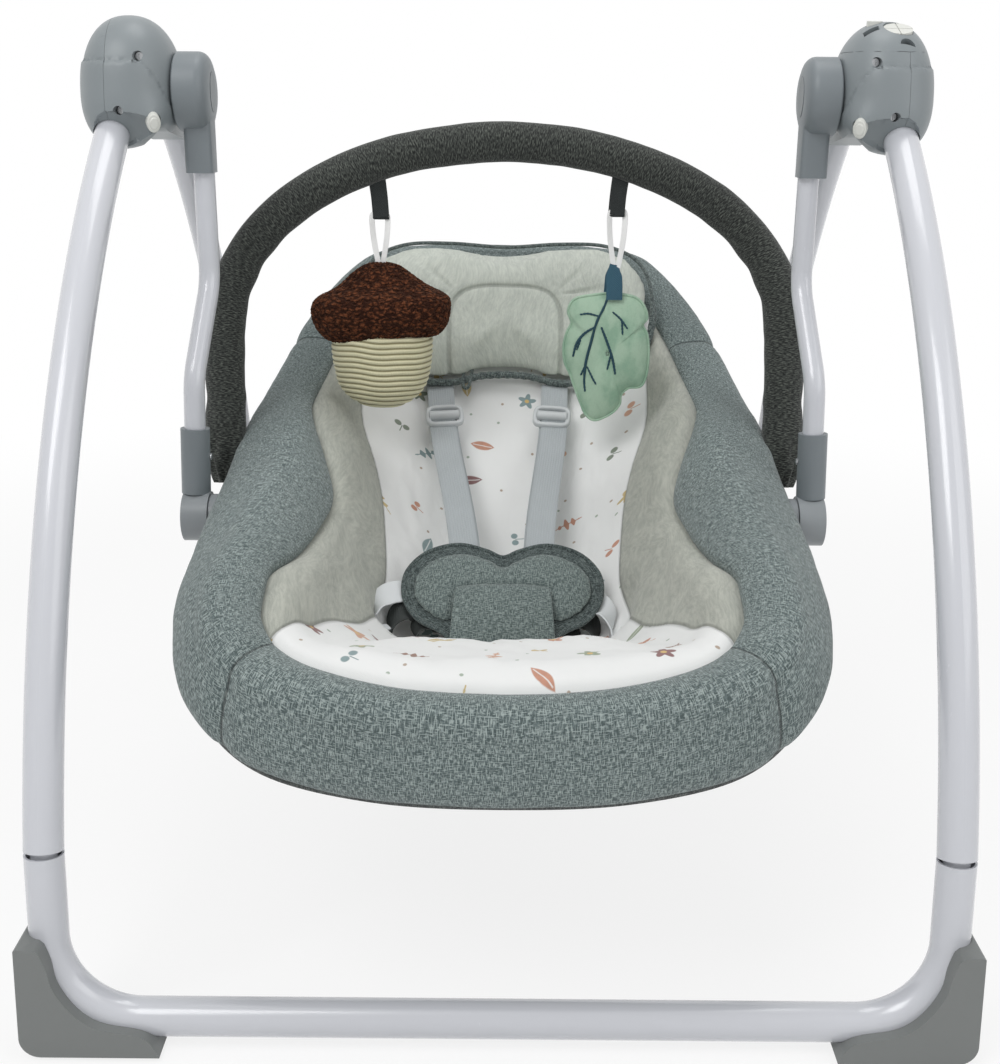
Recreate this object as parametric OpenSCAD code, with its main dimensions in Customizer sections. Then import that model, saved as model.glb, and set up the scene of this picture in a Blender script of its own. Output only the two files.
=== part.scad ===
/* [Frame] */
// Overall width over the corner covers
frame_w = 606; // [560:1:660]
// Height of the swing axis above the floor
axis_z = 588; // [570:1:600]
// Diameter of the front leg tube
front_d = 25; // [24:0.5:25]
// Diameter of the rear leg tube
rear_d = 22; // [20:0.5:22]
// Wall of every frame tube
tube_wall = 1.5; // [1:0.1:2]
// Bow radius of the front legs
front_bow_r = 748; // [744:1:752]
// Bow radius of the rear legs
rear_bow_r = 720; // [716:1:724]
// Bend radius where a base tube turns up
base_bend_r = 57; // [50:1:60]
// Centre height of the base bars
bar_z = 20; // [19.5:0.5:22]

/* [Corner covers] */
// Height of a corner cover up the leg
cover_h = 78; // [72:1:84]
// Length of a corner cover along the bar
cover_len = 88; // [82:1:96]
// Wall of a corner cover outside the tube
cover_wall = 4.5; // [3.5:0.5:5]
// Thickness of the rubber foot pads
pad_t = 3; // [2:0.5:4]
// Length of the rubber foot pads
pad_len = 26; // [20:1:32]

/* [Hub] */
// Height of the housing above the swing axis
hub_top = 53; // [50:1:56]
// Half depth of the housing front to back
hub_half_d = 50; // [48:1:52]
// Half width of the housing
hub_half_w = 35; // [33:0.5:36]
// Diameter of the swing pin
pin_d = 12; // [10:0.5:14]
// Width of the rear leg socket inside the housing
socket_w = 27; // [26:0.5:28]
// Fold angle of the rear legs
fold_angle = 50; // [40:1:52]

/* [Swing arms] */
// Diameter of the arm cap
cap_d = 57; // [52:1:60]
// Thickness of the arm cap
cap_t = 25; // [23:0.5:26]
// Diameter of the arm tube
arm_d = 16; // [14:0.5:17]
// Outer diameter of the lower arm sleeve
sleeve_d = 22; // [21:0.5:23]
// Radius of the recline hinge barrel
barrel_r = 19; // [17:0.5:20]
// Height of the recline hinge
recline_z = 276; // [272:1:280]

/* [Seat] */
// Room on each side between the padded ring and the outside of the frame
seat_room = 86; // [86:1:91]
// Half breadth of the padded ring's section
ring_half_w = 35; // [32:1:37]
// Half thickness of the padded ring's section
ring_half_t = 14; // [12:1:16]
// Thickness of the liner
liner_t = 12; // [9:1:15]
// Thickness of the sling under the liner
sling_t = 6; // [4:1:9]
// Width of the webbing straps
strap_w = 24; // [20:1:26]
// Thickness of the webbing straps
strap_t = 2; // [1.5:0.25:2.5]

/* [Toy bar] */
// Diameter of the padded toy bar
bar_pad_d = 32; // [28:1:34]
// How far the toy bar's arch stands out past the padded ring
bar_out = 11; // [5:1:13]
// Height of the toy bar's arch above its straight sides
arch_h = 146; // [138:1:152]
// Length of the toy bar's straight sides
arch_side = 128; // [120:1:136]
// Sideways distance of each toy from the middle
toy_x = 97; // [88:1:106]

/* [Hidden] */
$fn = 48;

// Clearances
run_gap = 0.06;
fit_gap = 0.15;
body_gap = 0.5;
bend_thin = 0.04;

// Frame layout
front_x = frame_w / 2 - cover_wall - front_d / 2;
rear_x = front_x - front_d / 2 - 8.5;
seam_x = front_x;
seat_half_w = frame_w / 2 - seat_room;
arch_half_w = seat_half_w + bar_out;
front_ang_top = 55;
front_ang_low = 13.4;
rear_ang_top = 52;
rear_ang_low = 10;
// Centre of the front bow, with the joint of leg and base tube at joint_z
joint_z = 134;
front_joint_y = -312;
front_c = [front_joint_y + front_bow_r * cos(front_ang_low), joint_z - front_bow_r * sin(front_ang_low)];
rear_joint_y = 318;
rear_c = [rear_joint_y - rear_bow_r * cos(rear_ang_low), joint_z - rear_bow_r * sin(rear_ang_low)];
front_bar_y = -322;
rear_bar_y = 324;
joint_gap = 0.4;
cover_front = 342;
spigot_len = 11;

function unit(v) = v / norm(v);
function mix(a, b, t) = a + (b - a) * t;
// Catmull-Rom value at t between b and c
function catmull(a, b, c, d, t) =
  0.5 * (2 * b + (c - a) * t + (2 * a - 5 * b + 4 * c - d) * t * t
  + (3 * b - a - 3 * c + d) * t * t * t);
// Smooth closed curve through pts with n steps between points
function smooth_loop(pts, n) = let (m = len(pts)) [
  for (i = [0:m - 1]) for (k = [0:n - 1])
    catmull(pts[(i + m - 1) % m], pts[i], pts[(i + 1) % m], pts[(i + 2) % m], k / n)
];
// Smooth open curve through pts with n steps between points
function smooth_open(pts, n) = let (m = len(pts)) concat([
  for (i = [0:m - 2]) for (k = [0:n - 1])
    catmull(pts[max(i - 1, 0)], pts[i], pts[i + 1], pts[min(i + 2, m - 1)], k / n)
], [pts[m - 1]]);
function arc2(c, r, a0, a1, n) = [
  for (i = [0:n]) let (a = mix(a0, a1, i / n)) c + r * [cos(a), sin(a)]
];

// Repeats a right-hand piece on the left
module left() mirror([1, 0, 0]) children();

// Local z axis laid along the direction from a to b, starting at a
module along(a, b) {
  d = unit(b - a);
  ref = abs(d.x) > 0.9 ? [0, 1, 0] : [1, 0, 0];
  v = unit(cross(d, ref));
  u = cross(v, d);
  multmatrix([[u.x, v.x, d.x, a.x], [u.y, v.y, d.y, a.y], [u.z, v.z, d.z, a.z], [0, 0, 0, 1]])
    children();
}

// Cross-section of a tube, solid when w is 0
module ring2d(r, w) {
  difference() {
    circle(r = r);
    if (w > 0)
      circle(r = r - w);
  }
}

// Solid bar bent through pts: straight runs and true circular bends, longer by ext at both ends.
// A bend is a hair thinner than the runs, as a drawn tube is.
module bent_bar(pts, r, bend, ext = 0) {
  n = len(pts);
  dirs = [for (i = [0:n - 2]) unit(pts[i + 1] - pts[i])];
  angs = [for (i = [1:n - 2]) acos(dirs[i - 1] * dirs[i])];
  cut = concat([-ext], [for (a = angs) bend * tan(a / 2) - 1], [-ext]);
  for (i = [0:n - 2])
    along(pts[i] + dirs[i] * cut[i], pts[i + 1])
      cylinder(r = r, h = norm(pts[i + 1] - pts[i]) - cut[i] - cut[i + 1]);
  for (i = [1:n - 2]) {
    d1 = dirs[i - 1];
    nn = unit(dirs[i] - d1 * (dirs[i] * d1));
    c = pts[i] - d1 * (cut[i] + 1) + nn * bend;
    z = cross(-nn, d1);
    multmatrix([[-nn.x, d1.x, z.x, c.x], [-nn.y, d1.y, z.y, c.y], [-nn.z, d1.z, z.z, c.z], [0, 0, 0, 1]])
      rotate_extrude(angle = angs[i - 1])
        translate([bend, 0])
          circle(r = r - bend_thin);
  }
}

// Tube of wall w bent through pts
module bent_tube(pts, r, w, bend) {
  difference() {
    union()
      bent_bar(pts, r, bend);
    if (w > 0)
      bent_bar(pts, r - w, bend, 1);
  }
}

// Closed surface from rings of points of equal count, capped flat at both ends
module loft(rings) {
  m = len(rings);
  k = len(rings[0]);
  pts = [for (g = rings) for (p = g) p];
  sides = [
    for (i = [0:m - 2]) for (j = [0:k - 1])
      let (a = i * k + j, b = i * k + (j + 1) % k)
        each [[a, b, b + k], [a, b + k, a + k]]
  ];
  caps = [
    [for (j = [k - 1:-1:0]) j],
    [for (j = [0:k - 1]) (m - 1) * k + j]
  ];
  polyhedron(points = pts, faces = concat(sides, caps), convexity = 6);
}

// Tube-like surface with an outer and an inner skin, open along its length
module loft_hollow(outer, inner) {
  m = len(outer);
  k = len(outer[0]);
  q = len(inner[0]);
  o = m * k;
  skin = [
    for (i = [0:m - 2]) for (j = [0:k - 1])
      let (a = i * k + j, b = i * k + (j + 1) % k)
        each [[a, b, b + k], [a, b + k, a + k]]
  ];
  bore = [
    for (i = [0:m - 2]) for (j = [0:k - 1])
      let (a = o + i * k + j, b = o + i * k + (j + 1) % k)
        each [[b, a, b + k], [b + k, a, a + k]]
  ];
  ends = [
    for (j = [0:k - 1]) let (n = (j + 1) % k, e = (m - 1) * k)
      each [[n, j, o + j], [n, o + j, o + n], [e + j, e + n, o + e + n], [e + j, o + e + n, o + e + j]]
  ];
  polyhedron(
    points = [for (g = concat(outer, inner)) for (p = g) p],
    faces = concat(skin, bore, ends), convexity = 8
  );
}

// Closed ring-shaped surface from sections of equal count
module loft_loop(rings) {
  m = len(rings);
  k = len(rings[0]);
  pts = [for (g = rings) for (p = g) p];
  faces = [
    for (i = [0:m - 1]) for (j = [0:k - 1])
      let (a = i * k + j, b = i * k + (j + 1) % k,
           c = ((i + 1) % m) * k + (j + 1) % k, d = ((i + 1) % m) * k + j)
        each [[a, b, c], [a, c, d]]
  ];
  polyhedron(points = pts, faces = faces, convexity = 8);
}

// ---------- frame tubes ----------

// Bowed leg in a plane of constant x; sy is -1 for front and 1 for rear
module bow(cx, c, R, a0, a1, sy, r, w) {
  // The section sweeps in a horizontal plane, then the plane is stood upright
  translate([cx, c.x, c.y])
    multmatrix([[0, 0, sy, 0], [sy, 0, 0, 0], [0, 1, 0, 0], [0, 0, 0, 1]])
      rotate([0, 0, a0])
        rotate_extrude(angle = a1 - a0)
          translate([R, 0])
            ring2d(r, w);
}

module front_leg() {
  color("gainsboro")
    bow(front_x, front_c, front_bow_r, front_ang_low, front_ang_top, -1, front_d / 2, tube_wall);
}

module rear_leg() {
  color("gainsboro")
    bow(rear_x, rear_c, rear_bow_r, rear_ang_low, rear_ang_top, 1, rear_d / 2, tube_wall);
}

// Path of a base tube from one joint to the other
function base_path(x, jy, by, d, ang) = let (
  low = [x, by, bar_z],
  top = [x, jy, joint_z],
  bend = ang - atan(abs(by - jy) / (joint_z - bar_z)),
  start = top + unit(low - top) * (joint_gap + d / 2 * sin(bend))
) [
  [-start.x, start.y, start.z], [-low.x, low.y, low.z], low, start
];

module base_tube(x, jy, by, d, ang) {
  path = base_path(x, jy, by, d, ang);
  ri = d / 2 - tube_wall;
  color("gainsboro")
    union() {
      bent_tube(path, d / 2, tube_wall, base_bend_r);
      // Spigot that plugs into the leg
      for (s = [0, 1])
        mirror([s, 0, 0])
          along(path[3] + unit(path[2] - path[3]) * 18, path[3])
            union() {
              cylinder(r = ri + 0.8, h = 12);
              cylinder(r = ri - 2.4, h = 18 + spigot_len);
            }
    }
}

module front_base_tube() base_tube(front_x, front_joint_y, front_bar_y, front_d, front_ang_low);
module rear_base_tube() base_tube(rear_x, rear_joint_y, rear_bar_y, rear_d, rear_ang_low);

// ---------- corner covers and feet ----------

// Outline of a cover seen from the front, u inward from the outer face, v up
function cover_outline() = let (
  top_w = 15,
  fillet = 13,
  inner = smooth_open([
    [top_w + 3, cover_h - 3], [top_w + 6.5, cover_h - 14], [top_w + 10, cover_h - 30],
    [36, 31], [50, 21], [cover_len - 16, 16.8], [cover_len - 8, 13.5], [cover_len - 3.5, 8], [cover_len, 0]
  ], 4)
) concat(
  [[2.2, cover_h - 1], [3.5, cover_h], [top_w, cover_h - 0.5]],
  inner,
  arc2([fillet, fillet], fillet, 270, 180, 8)
);

// sy is -1 for the front frame and 1 for the rear one
module corner_cover(x, jy, by, d, ang, sy) {
  outer = frame_w / 2;
  depth = cover_front - abs(by) + d / 2 + 2;
  path = base_path(x, jy, by, d, ang);
  color("dimgray")
    difference() {
      translate([outer, sy > 0 ? cover_front : -cover_front + depth, pad_t])
        rotate([90, 0, 0])
          linear_extrude(height = depth)
            polygon([for (p = cover_outline()) [-p.x, p.y]]);
      bent_tube(path, d / 2 + fit_gap, 0, base_bend_r);
      // The channel stays open towards the inside of the frame
      translate([outer - 200, sy > 0 ? cover_front - depth - 1 : -cover_front + depth - d / 2 + 2, bar_z + d / 2 - 7])
        cube([200 - cover_wall - d * 0.62, d / 2 + 2, 200]);
    }
}

module foot_pads(by, sy) {
  color("dimgray")
    for (s = [0, 1])
      mirror([s, 0, 0])
        translate([frame_w / 2 - 32 - pad_len, sy > 0 ? cover_front - 26 : -cover_front + 4, 0])
          cube([pad_len, 22, pad_t]);
}

// ---------- hub housings (right-hand side, mirrored for the left) ----------
hub_cx = front_x - 10;
hub_c = [hub_cx, 0, axis_z];
hub_inner_x = hub_cx - hub_half_w + 3;
exit_ang = 53;
exit_p = [front_x, front_c.x - front_bow_r * cos(exit_ang), front_c.y + front_bow_r * sin(exit_ang)];
exit_dir = [0, -sin(exit_ang), -cos(exit_ang)];
skirt_rise = 9;
skirt_spread = 30;
boss_rise = 7;
boss_spread = 15;
hub_low = 37;
panel_z = axis_z + hub_top - 22;
seam_gap = 0.1;
socket_x0 = rear_x - socket_w / 2;
socket_x1 = rear_x + socket_w / 2;
socket_disc_r = 29;
// Inboard of the front leg the socket is cut thinner out to this radius
socket_thin_r = 42;
socket_thin_x = front_x - front_d / 2 - 0.7;
socket_exit_r = rear_d / 2 + 3.5;
rear_exit_ang = 50.6;
rear_exit = [rear_x, rear_c.x + rear_bow_r * cos(rear_exit_ang), rear_c.y + rear_bow_r * sin(rear_exit_ang)];
rear_exit_dir = [0, sin(rear_exit_ang), -cos(rear_exit_ang)];
socket_back = atan2(rear_exit.y, axis_z - rear_exit.z);

// Radius of the housing's surface from hub_c in the unit direction d
function hub_radius(d) = let (
  a = hub_half_w + (d.x > 0 ? 1 : 0),
  b = hub_half_d - 4,
  c = d.z > 0 ? hub_top : hub_low,
  p = 2.25,
  base = 1 / pow(pow(abs(d.x) / a, p) + pow(abs(d.y) / b, p) + pow(abs(d.z) / c, p), 1 / p),
  e = unit(exit_p - hub_c),
  off = acos(min(1, max(-1, d * e))) / skirt_spread,
  // Small boss round the fold button
  bo = acos(min(1, max(-1, d * unit(button_p - hub_c)))) / boss_spread
) base + skirt_rise * exp(-off * off) + boss_rise * exp(-bo * bo);

// Smooth dome with a flared skirt round the leg
module hub_solid() {
  n_lat = 15;
  n_lon = 36;
  function at(lat, lon) = let (d = [sin(lat), -cos(lat) * sin(lon), cos(lat) * cos(lon)]) hub_c + d * hub_radius(d);
  pts = concat(
    [for (i = [1:n_lat]) for (j = [0:n_lon - 1]) at(-90 + 180 * i / (n_lat + 1), 360 * j / n_lon)],
    [at(-90, 0), at(90, 0)]
  );
  lo = n_lat * n_lon;
  last = (n_lat - 1) * n_lon;
  faces = [
    for (i = [0:n_lat - 2]) for (j = [0:n_lon - 1])
      let (a = i * n_lon + j, b = i * n_lon + (j + 1) % n_lon)
        each [[a, b, b + n_lon], [a, b + n_lon, a + n_lon]],
    for (j = [0:n_lon - 1]) let (k = (j + 1) % n_lon)
      each [[k, j, lo], [last + j, last + k, lo + 1]]
  ];
  polyhedron(points = pts, faces = faces, convexity = 4);
}

// Half-space beyond the leg exit
module exit_cut() {
  along(exit_p, exit_p + exit_dir)
    cylinder(r = 60, h = 60);
}

// Space that the rear leg socket sweeps
module socket_space() {
  translate([socket_x0 - body_gap - 0.03, 0, axis_z])
    rotate([0, 90, 0])
      cylinder(r = socket_disc_r + body_gap, h = socket_w + 2 * body_gap + 0.06);
  // The sector is swept about the swing axis from just ahead of the folded leg to behind the open one
  translate([socket_x0 - body_gap, 0, axis_z])
    rotate([0, 90, 0])
      rotate([0, 0, -30])
        rotate_extrude(angle = 156)
          translate([12, 0])
            square([113, socket_w + 2 * body_gap]);
  translate([socket_x0 - body_gap + 0.02, 0, axis_z])
    rotate([0, 90, 0])
      rotate([0, 0, -64])
        rotate_extrude(angle = 208)
          translate([12, 0])
            square([socket_thin_r - 12, socket_thin_x - socket_x0 + 2 * body_gap - 0.02]);
}

module front_leg_hole() {
  bow(front_x, front_c, front_bow_r, front_ang_top - 6, front_ang_top + 0.1, -1, front_d / 2 + fit_gap, 0);
}

// Frame of the tilted control area: local z is out of the surface
module panel_frame(px, tilt, r) {
  translate([px, 0, axis_z])
    rotate([tilt, 0, 0])
      translate([0, 0, r])
        children();
}
quad_tilt = 22;
quad_r = 10.5;
quad_x = hub_cx + 5;
quad_h = hub_top - 4.2;
power_r = 5.6;
power_x = hub_cx - 9;
power_tilt = 6;
power_h = hub_top - 2.2;
window_x = hub_cx - 14;
window_tilt = 22;
window_h = hub_top - 9;
lens_x = hub_cx + 9;
lens_tilt = 42;
lens_r = 5.5;
lens_h = hub_top - 7.6;

module quad_space() panel_frame(quad_x, quad_tilt, quad_h) translate([0, 0, -3.4]) cylinder(r = quad_r + 0.35, h = 20);
module power_space() panel_frame(power_x, power_tilt, power_h) translate([0, 0, -3.4]) cylinder(r = power_r + 0.35, h = 20);
module window_plate(g, h) panel_frame(window_x, window_tilt, window_h) translate([-5 - g, -3.2 - g, -2]) cube([10 + 2 * g, 6.4 + 2 * g, h]);
module lens_plate(g, h) {
  panel_frame(lens_x, lens_tilt, lens_h)
    translate([0, -1.5 - g, -2 - g])
      difference() {
        cylinder(r = lens_r + g, h = h);
        translate([-20, -40, -1])
          cube([40, 40, h + 2]);
      }
}

// Screw recesses on the front face: [x, height, depth start]
screw_spots = [[hub_cx - 13, axis_z + 24, -31], [hub_cx + 1, axis_z - 13, -37]];
module screw_holes() {
  for (s = screw_spots)
    translate([s.x, s.z, s.y])
      rotate([90, 0, 0])
        cylinder(r = 3.3, h = 30);
}
button_p = [hub_cx - 19, -35, axis_z - 18];
button_dir = unit([-0.45, -0.88, -0.12]);
button_r = 4.2;
module button_space() along(button_p - button_dir * 3, button_p + button_dir) cylinder(r = button_r + 0.3, h = 30);

// Common body of both shells, before the seam is cut
module hub_body(has_panel) {
  difference() {
    hub_solid();
    exit_cut();
    socket_space();
    front_leg_hole();
    screw_holes();
    button_space();
    translate([hub_inner_x - 50, -100, axis_z - 100])
      cube([50, 200, 200]);
    translate([hub_inner_x - 1, 0, axis_z])
      rotate([0, 90, 0])
        cylinder(r = pin_d / 2 + run_gap, h = socket_x1 - hub_inner_x + 4);
    if (has_panel)
      translate([hub_cx - 60, -80, panel_z])
        cube([120, 160, 60]);
  }
}

module hub_outer_shell(has_panel) {
  color("slategray")
    difference() {
      hub_body(has_panel);
      translate([seam_x - 100 + seam_gap, -100, axis_z - 100])
        cube([100, 200, 200]);
    }
}

module hub_inner_shell(has_panel) {
  color("slategray")
    difference() {
      hub_body(has_panel);
      translate([seam_x - seam_gap, -100, axis_z - 100])
        cube([100, 200, 200]);
    }
}

module control_panel() {
  color("slategray")
    difference() {
      hub_solid();
      translate([hub_cx - 60, -80, panel_z - 200 + 0.3])
        cube([120, 160, 200]);
      quad_space();
      power_space();
      window_plate(0.1, 20);
      lens_plate(0.1, 20);
      translate([hub_inner_x - 50, -100, axis_z - 100])
        cube([50, 200, 200]);
    }
}

module indicator_windows() {
  color("gray") {
    window_plate(0, 3);
    lens_plate(0, 3);
  }
}

// One quarter of the round button pad: sx inward or outward, sy front or rear
module quad_button(sx, sy) {
  color("white")
    panel_frame(quad_x, quad_tilt, quad_h)
      intersection() {
        translate([0, 0, -1.9])
          cylinder(r = quad_r, h = 4.6);
        translate([sx > 0 ? 0.3 : -20.3, sy > 0 ? 0.3 : -20.3, -10])
          cube([20, 20, 20]);
      }
}

module power_button() {
  color("white")
    panel_frame(power_x, power_tilt, power_h)
      translate([0, 0, -1.9])
        cylinder(r = power_r, h = 4.6);
}

module hub_screws() {
  color("silver")
    for (side = [0, 1])
      mirror([side, 0, 0])
        for (s = screw_spots)
          translate([s.x, s.z - 0.1, s.y])
            rotate([90, 0, 0])
              difference() {
                cylinder(r = 2.8, h = 2.4);
                translate([0, 0, 1.2])
                  for (a = [0, 90])
                    rotate([0, 0, a])
                      translate([-1.8, -0.4, 0])
                        cube([3.6, 0.8, 3]);
              }
}

module fold_button() {
  color("white")
    along(button_p + button_dir * 1, button_p + button_dir * 2)
      union() {
        cylinder(r = button_r, h = 8);
        translate([0, 0, 8])
          cylinder(r1 = button_r, r2 = button_r - 0.8, h = 0.8);
      }
}

// Teardrop from the swing axis to the rear leg's exit, as [y, z] points about the axis
function teardrop(r0, p, r1, n) = let (
  l = norm(p), dir = atan2(p.y, p.x), a = acos((r0 - r1) / l)
) concat(arc2([0, 0], r0, dir + a, dir + 360 - a, n), arc2(p, r1, dir - a, dir + a, n));

module rear_socket() {
  tail = [rear_exit.y, rear_exit.z - axis_z];
  color("darkgray")
    difference() {
      translate([socket_x0, 0, axis_z])
        rotate([90, 0, 90])
          linear_extrude(height = socket_w)
            polygon(teardrop(socket_disc_r, tail, socket_exit_r, 20));
      bow(rear_x, rear_c, rear_bow_r, rear_ang_low + 20, rear_ang_top + 0.2, 1, rear_d / 2 + fit_gap, 0);
      translate([socket_x0 - 1, 0, axis_z])
        rotate([0, 90, 0])
          cylinder(r = pin_d / 2 + run_gap, h = socket_w + 2);
      along(rear_exit, rear_exit + rear_exit_dir)
        cylinder(r = 40, h = 40);
      translate([socket_thin_x, 0, axis_z])
        rotate([0, 90, 0])
          cylinder(r = socket_thin_r, h = 20);
      // Relief slots in the belly and the inner face
      for (k = [0, 1, 2])
        translate([socket_x0 - 1, 0, axis_z])
          rotate([-(48 + 9 * k), 0, 0])
            translate([0, -0.9, -64 - 6 * k])
              cube([4, 1.8, 13]);
    }
}

// ---------- swing arms ----------
cap_x1 = hub_inner_x - body_gap;
cap_x0 = cap_x1 - cap_t;
arm_top_x = cap_x0 + 9.5;
arm_low_x = cap_x1 - 7.5;
arm_low_y = -50;
neck_low = axis_z - 58;
arm_path = [
  [arm_top_x, 0, neck_low + 10], [arm_top_x, 0, 448], [arm_low_x - 2, arm_low_y + 2, 382],
  [arm_low_x, arm_low_y - 2, recline_z + 24]
];
recline_y = arm_low_y - 5;
sleeve_top = 344;

module swing_pins() {
  color("silver")
    for (s = [0, 1])
      mirror([s, 0, 0])
        translate([cap_x0 + 8, 0, axis_z])
          rotate([0, 90, 0])
            cylinder(r = pin_d / 2, h = socket_x1 + 1.5 - cap_x0 - 8);
}

module arm_cap() {
  neck_w = 20.5;
  neck_d = 25;
  color("dimgray")
    difference() {
      union() {
        // Round head with a chamfered inner rim
        translate([cap_x0, 0, axis_z])
          rotate([0, 90, 0])
            rotate_extrude()
              polygon(concat(
                [[0, 0], [cap_d / 2 - 10, 0]],
                arc2([cap_d / 2 - 8, 9], 8, -70, 0, 6),
                [[cap_d / 2, 12], [cap_d / 2, cap_t - 1], [cap_d / 2 - 1, cap_t], [0, cap_t]]
              ));
        // Neck that grips the arm tube
        translate([0, 0, neck_low])
          linear_extrude(height = axis_z - neck_low - 8)
            polygon(concat(
              arc2([cap_x0 + 5, -neck_d / 2 + 4.5], 4, 180, 270, 4),
              arc2([cap_x0 + neck_w - 3, -neck_d / 2 + 4.5], 4, 270, 360, 4),
              arc2([cap_x0 + neck_w - 3, neck_d / 2 - 4.5], 4, 0, 90, 4),
              arc2([cap_x0 + 5, neck_d / 2 - 4.5], 4, 90, 180, 4)
            ));
      }
      translate([arm_top_x, 0, neck_low - 1])
        cylinder(r = arm_d / 2 + fit_gap, h = 11.2);
      translate([cap_x0 + 7.9, 0, axis_z])
        rotate([0, 90, 0])
          cylinder(r = pin_d / 2 + 0.02, h = cap_t);
      translate([cap_x0 - 0.1, 0, axis_z])
        insert_solid(0.15, 1.6);
    }
}

// Oval cover plate set into the inner face of an arm cap
module insert_solid(g, h) {
  rotate([90, 0, 90])
    linear_extrude(height = h)
      polygon([for (i = [0:35]) [(9.5 + g) * cos(10 * i), (14.5 + g) * sin(10 * i)]]);
}

module arm_cap_inserts() {
  color("gray")
    for (s = [0, 1])
      mirror([s, 0, 0])
        translate([cap_x0 - 0.3, 0, axis_z])
          insert_solid(0, 1.6);
}

module arm_tube() {
  color("gainsboro")
    bent_tube(arm_path, arm_d / 2, tube_wall, 40);
}

module arm_sleeve() {
  a = arm_path[2];
  b = arm_path[3];
  d = unit(b - a);
  top = b - d * (sleeve_top - b.z);
  color("dimgray")
    difference() {
      union() {
        along(top, b)
          cylinder(r = sleeve_d / 2, h = norm(b - top) + 6);
        translate([arm_low_x - sleeve_d / 2, recline_y, recline_z])
          rotate([0, 90, 0])
            cylinder(r = barrel_r, h = sleeve_d - 2);
      }
      along(top - d * 2, b)
        cylinder(r = arm_d / 2 + fit_gap, h = norm(b - top) + 2.1);
      translate([arm_low_x - sleeve_d / 2 - 1, recline_y, recline_z])
        rotate([0, 90, 0])
          cylinder(r = 6 + run_gap, h = 15.6);
    }
}

module sleeve_screws() {
  color("silver")
    for (s = [0, 1])
      mirror([s, 0, 0])
        translate([arm_low_x - sleeve_d / 2 - 1.7, arm_low_y, recline_z + 46])
          rotate([0, 90, 0])
            cylinder(r = 2.4, h = 1);
}

// ---------- seat ----------
// Half outline of the padded ring's outer edge, from head to front: [share of half width, y, z, tilt]
rim_half = [
  [0, 300, 440, -44], [0.38, 298, 439, -43], [0.61, 283, 430, -38], [0.755, 250, 405, -26],
  [0.868, 200, 370, -12], [0.942, 120, 331, 0], [0.988, 40, 308, 9], [1, -50, 284, 15],
  [1, -150, 258, 26], [0.97, -220, 236, 42], [0.88, -274, 212, 58], [0.69, -309, 192, 70],
  [0.37, -327, 182, 78], [0, -332, 180, 80]
];
rim_n = len(rim_half);
rim_full = concat(
  [for (p = rim_half) [p[0] * seat_half_w, p[1], p[2], p[3]]],
  [for (i = [rim_n - 2:-1:1]) let (p = rim_half[i]) [-p[0] * seat_half_w, p[1], p[2], p[3]]]
);
rim = smooth_loop(rim_full, 2);
rim_m = len(rim);
// Level direction into the seat at each rim point
function rim_in(i) = let (
  a = rim[(i + rim_m - 1) % rim_m], b = rim[(i + 1) % rim_m],
  t = unit([b.x - a.x, b.y - a.y, 0])
) [t.y, -t.x, 0];
function rim_pt(i) = [rim[i].x, rim[i].y, rim[i].z];
// Long and short axes of the ring's section
function rim_u(i) = rim_in(i) * cos(rim[i][3]) + [0, 0, sin(rim[i][3])];
function rim_v(i) = -rim_in(i) * sin(rim[i][3]) + [0, 0, cos(rim[i][3])];
function ring_mid(i) = rim_pt(i) + rim_u(i) * ring_half_w;
function ring_edge(i) = rim_pt(i) + rim_u(i) * ring_half_w * 2;

module seat_ring() {
  color("slategray")
    difference() {
      loft_loop([
        for (i = [0:rim_m - 1])
          [for (k = [0:9])
            ring_mid(i) + rim_u(i) * ring_half_w * cos(36 * k) + rim_v(i) * ring_half_t * sin(36 * k)]
      ]);
    }
}

// Steel hoop carried just under the padded ring
hoop_r = 5;
function hoop_mid(i) = ring_mid(i) - rim_v(i) * (ring_half_t + hoop_r + 0.3);
module seat_hoop() {
  color("silver")
    loft_loop([
      for (i = [0:rim_m - 1])
        [for (k = [0:5])
          hoop_mid(i) + (rim_u(i) * cos(60 * k) + rim_v(i) * sin(60 * k)) * hoop_r]
    ]);
}

// Height of the seat's hollow along its middle
mid_profile = [
  [-345, 246], [-270, 238], [-200, 212], [-130, 178], [-60, 165], [0, 186], [60, 219],
  [100, 250], [200, 332], [300, 436]
];
seat_centre = [0, -50];
edge_gap = 1;
// Where the ring stands upright the bowl keeps clear of its bulge
function bowl_edge(i) = ring_edge(i) + rim_in(i) * (edge_gap + ring_half_t * max(0, sin(rim[i][3])));
function bowl_point(i, t, drop) = let (
  e = bowl_edge(i),
  x = mix(seat_centre.x, e.x, t),
  y = mix(seat_centre.y, e.y, t),
  z = lookup(y, mid_profile) + (e.z - lookup(e.y, mid_profile)) * pow(t, 2.6)
) [x, y, z - drop];
bowl_steps = [0.25, 0.45, 0.62, 0.77, 0.89, 1];

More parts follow.
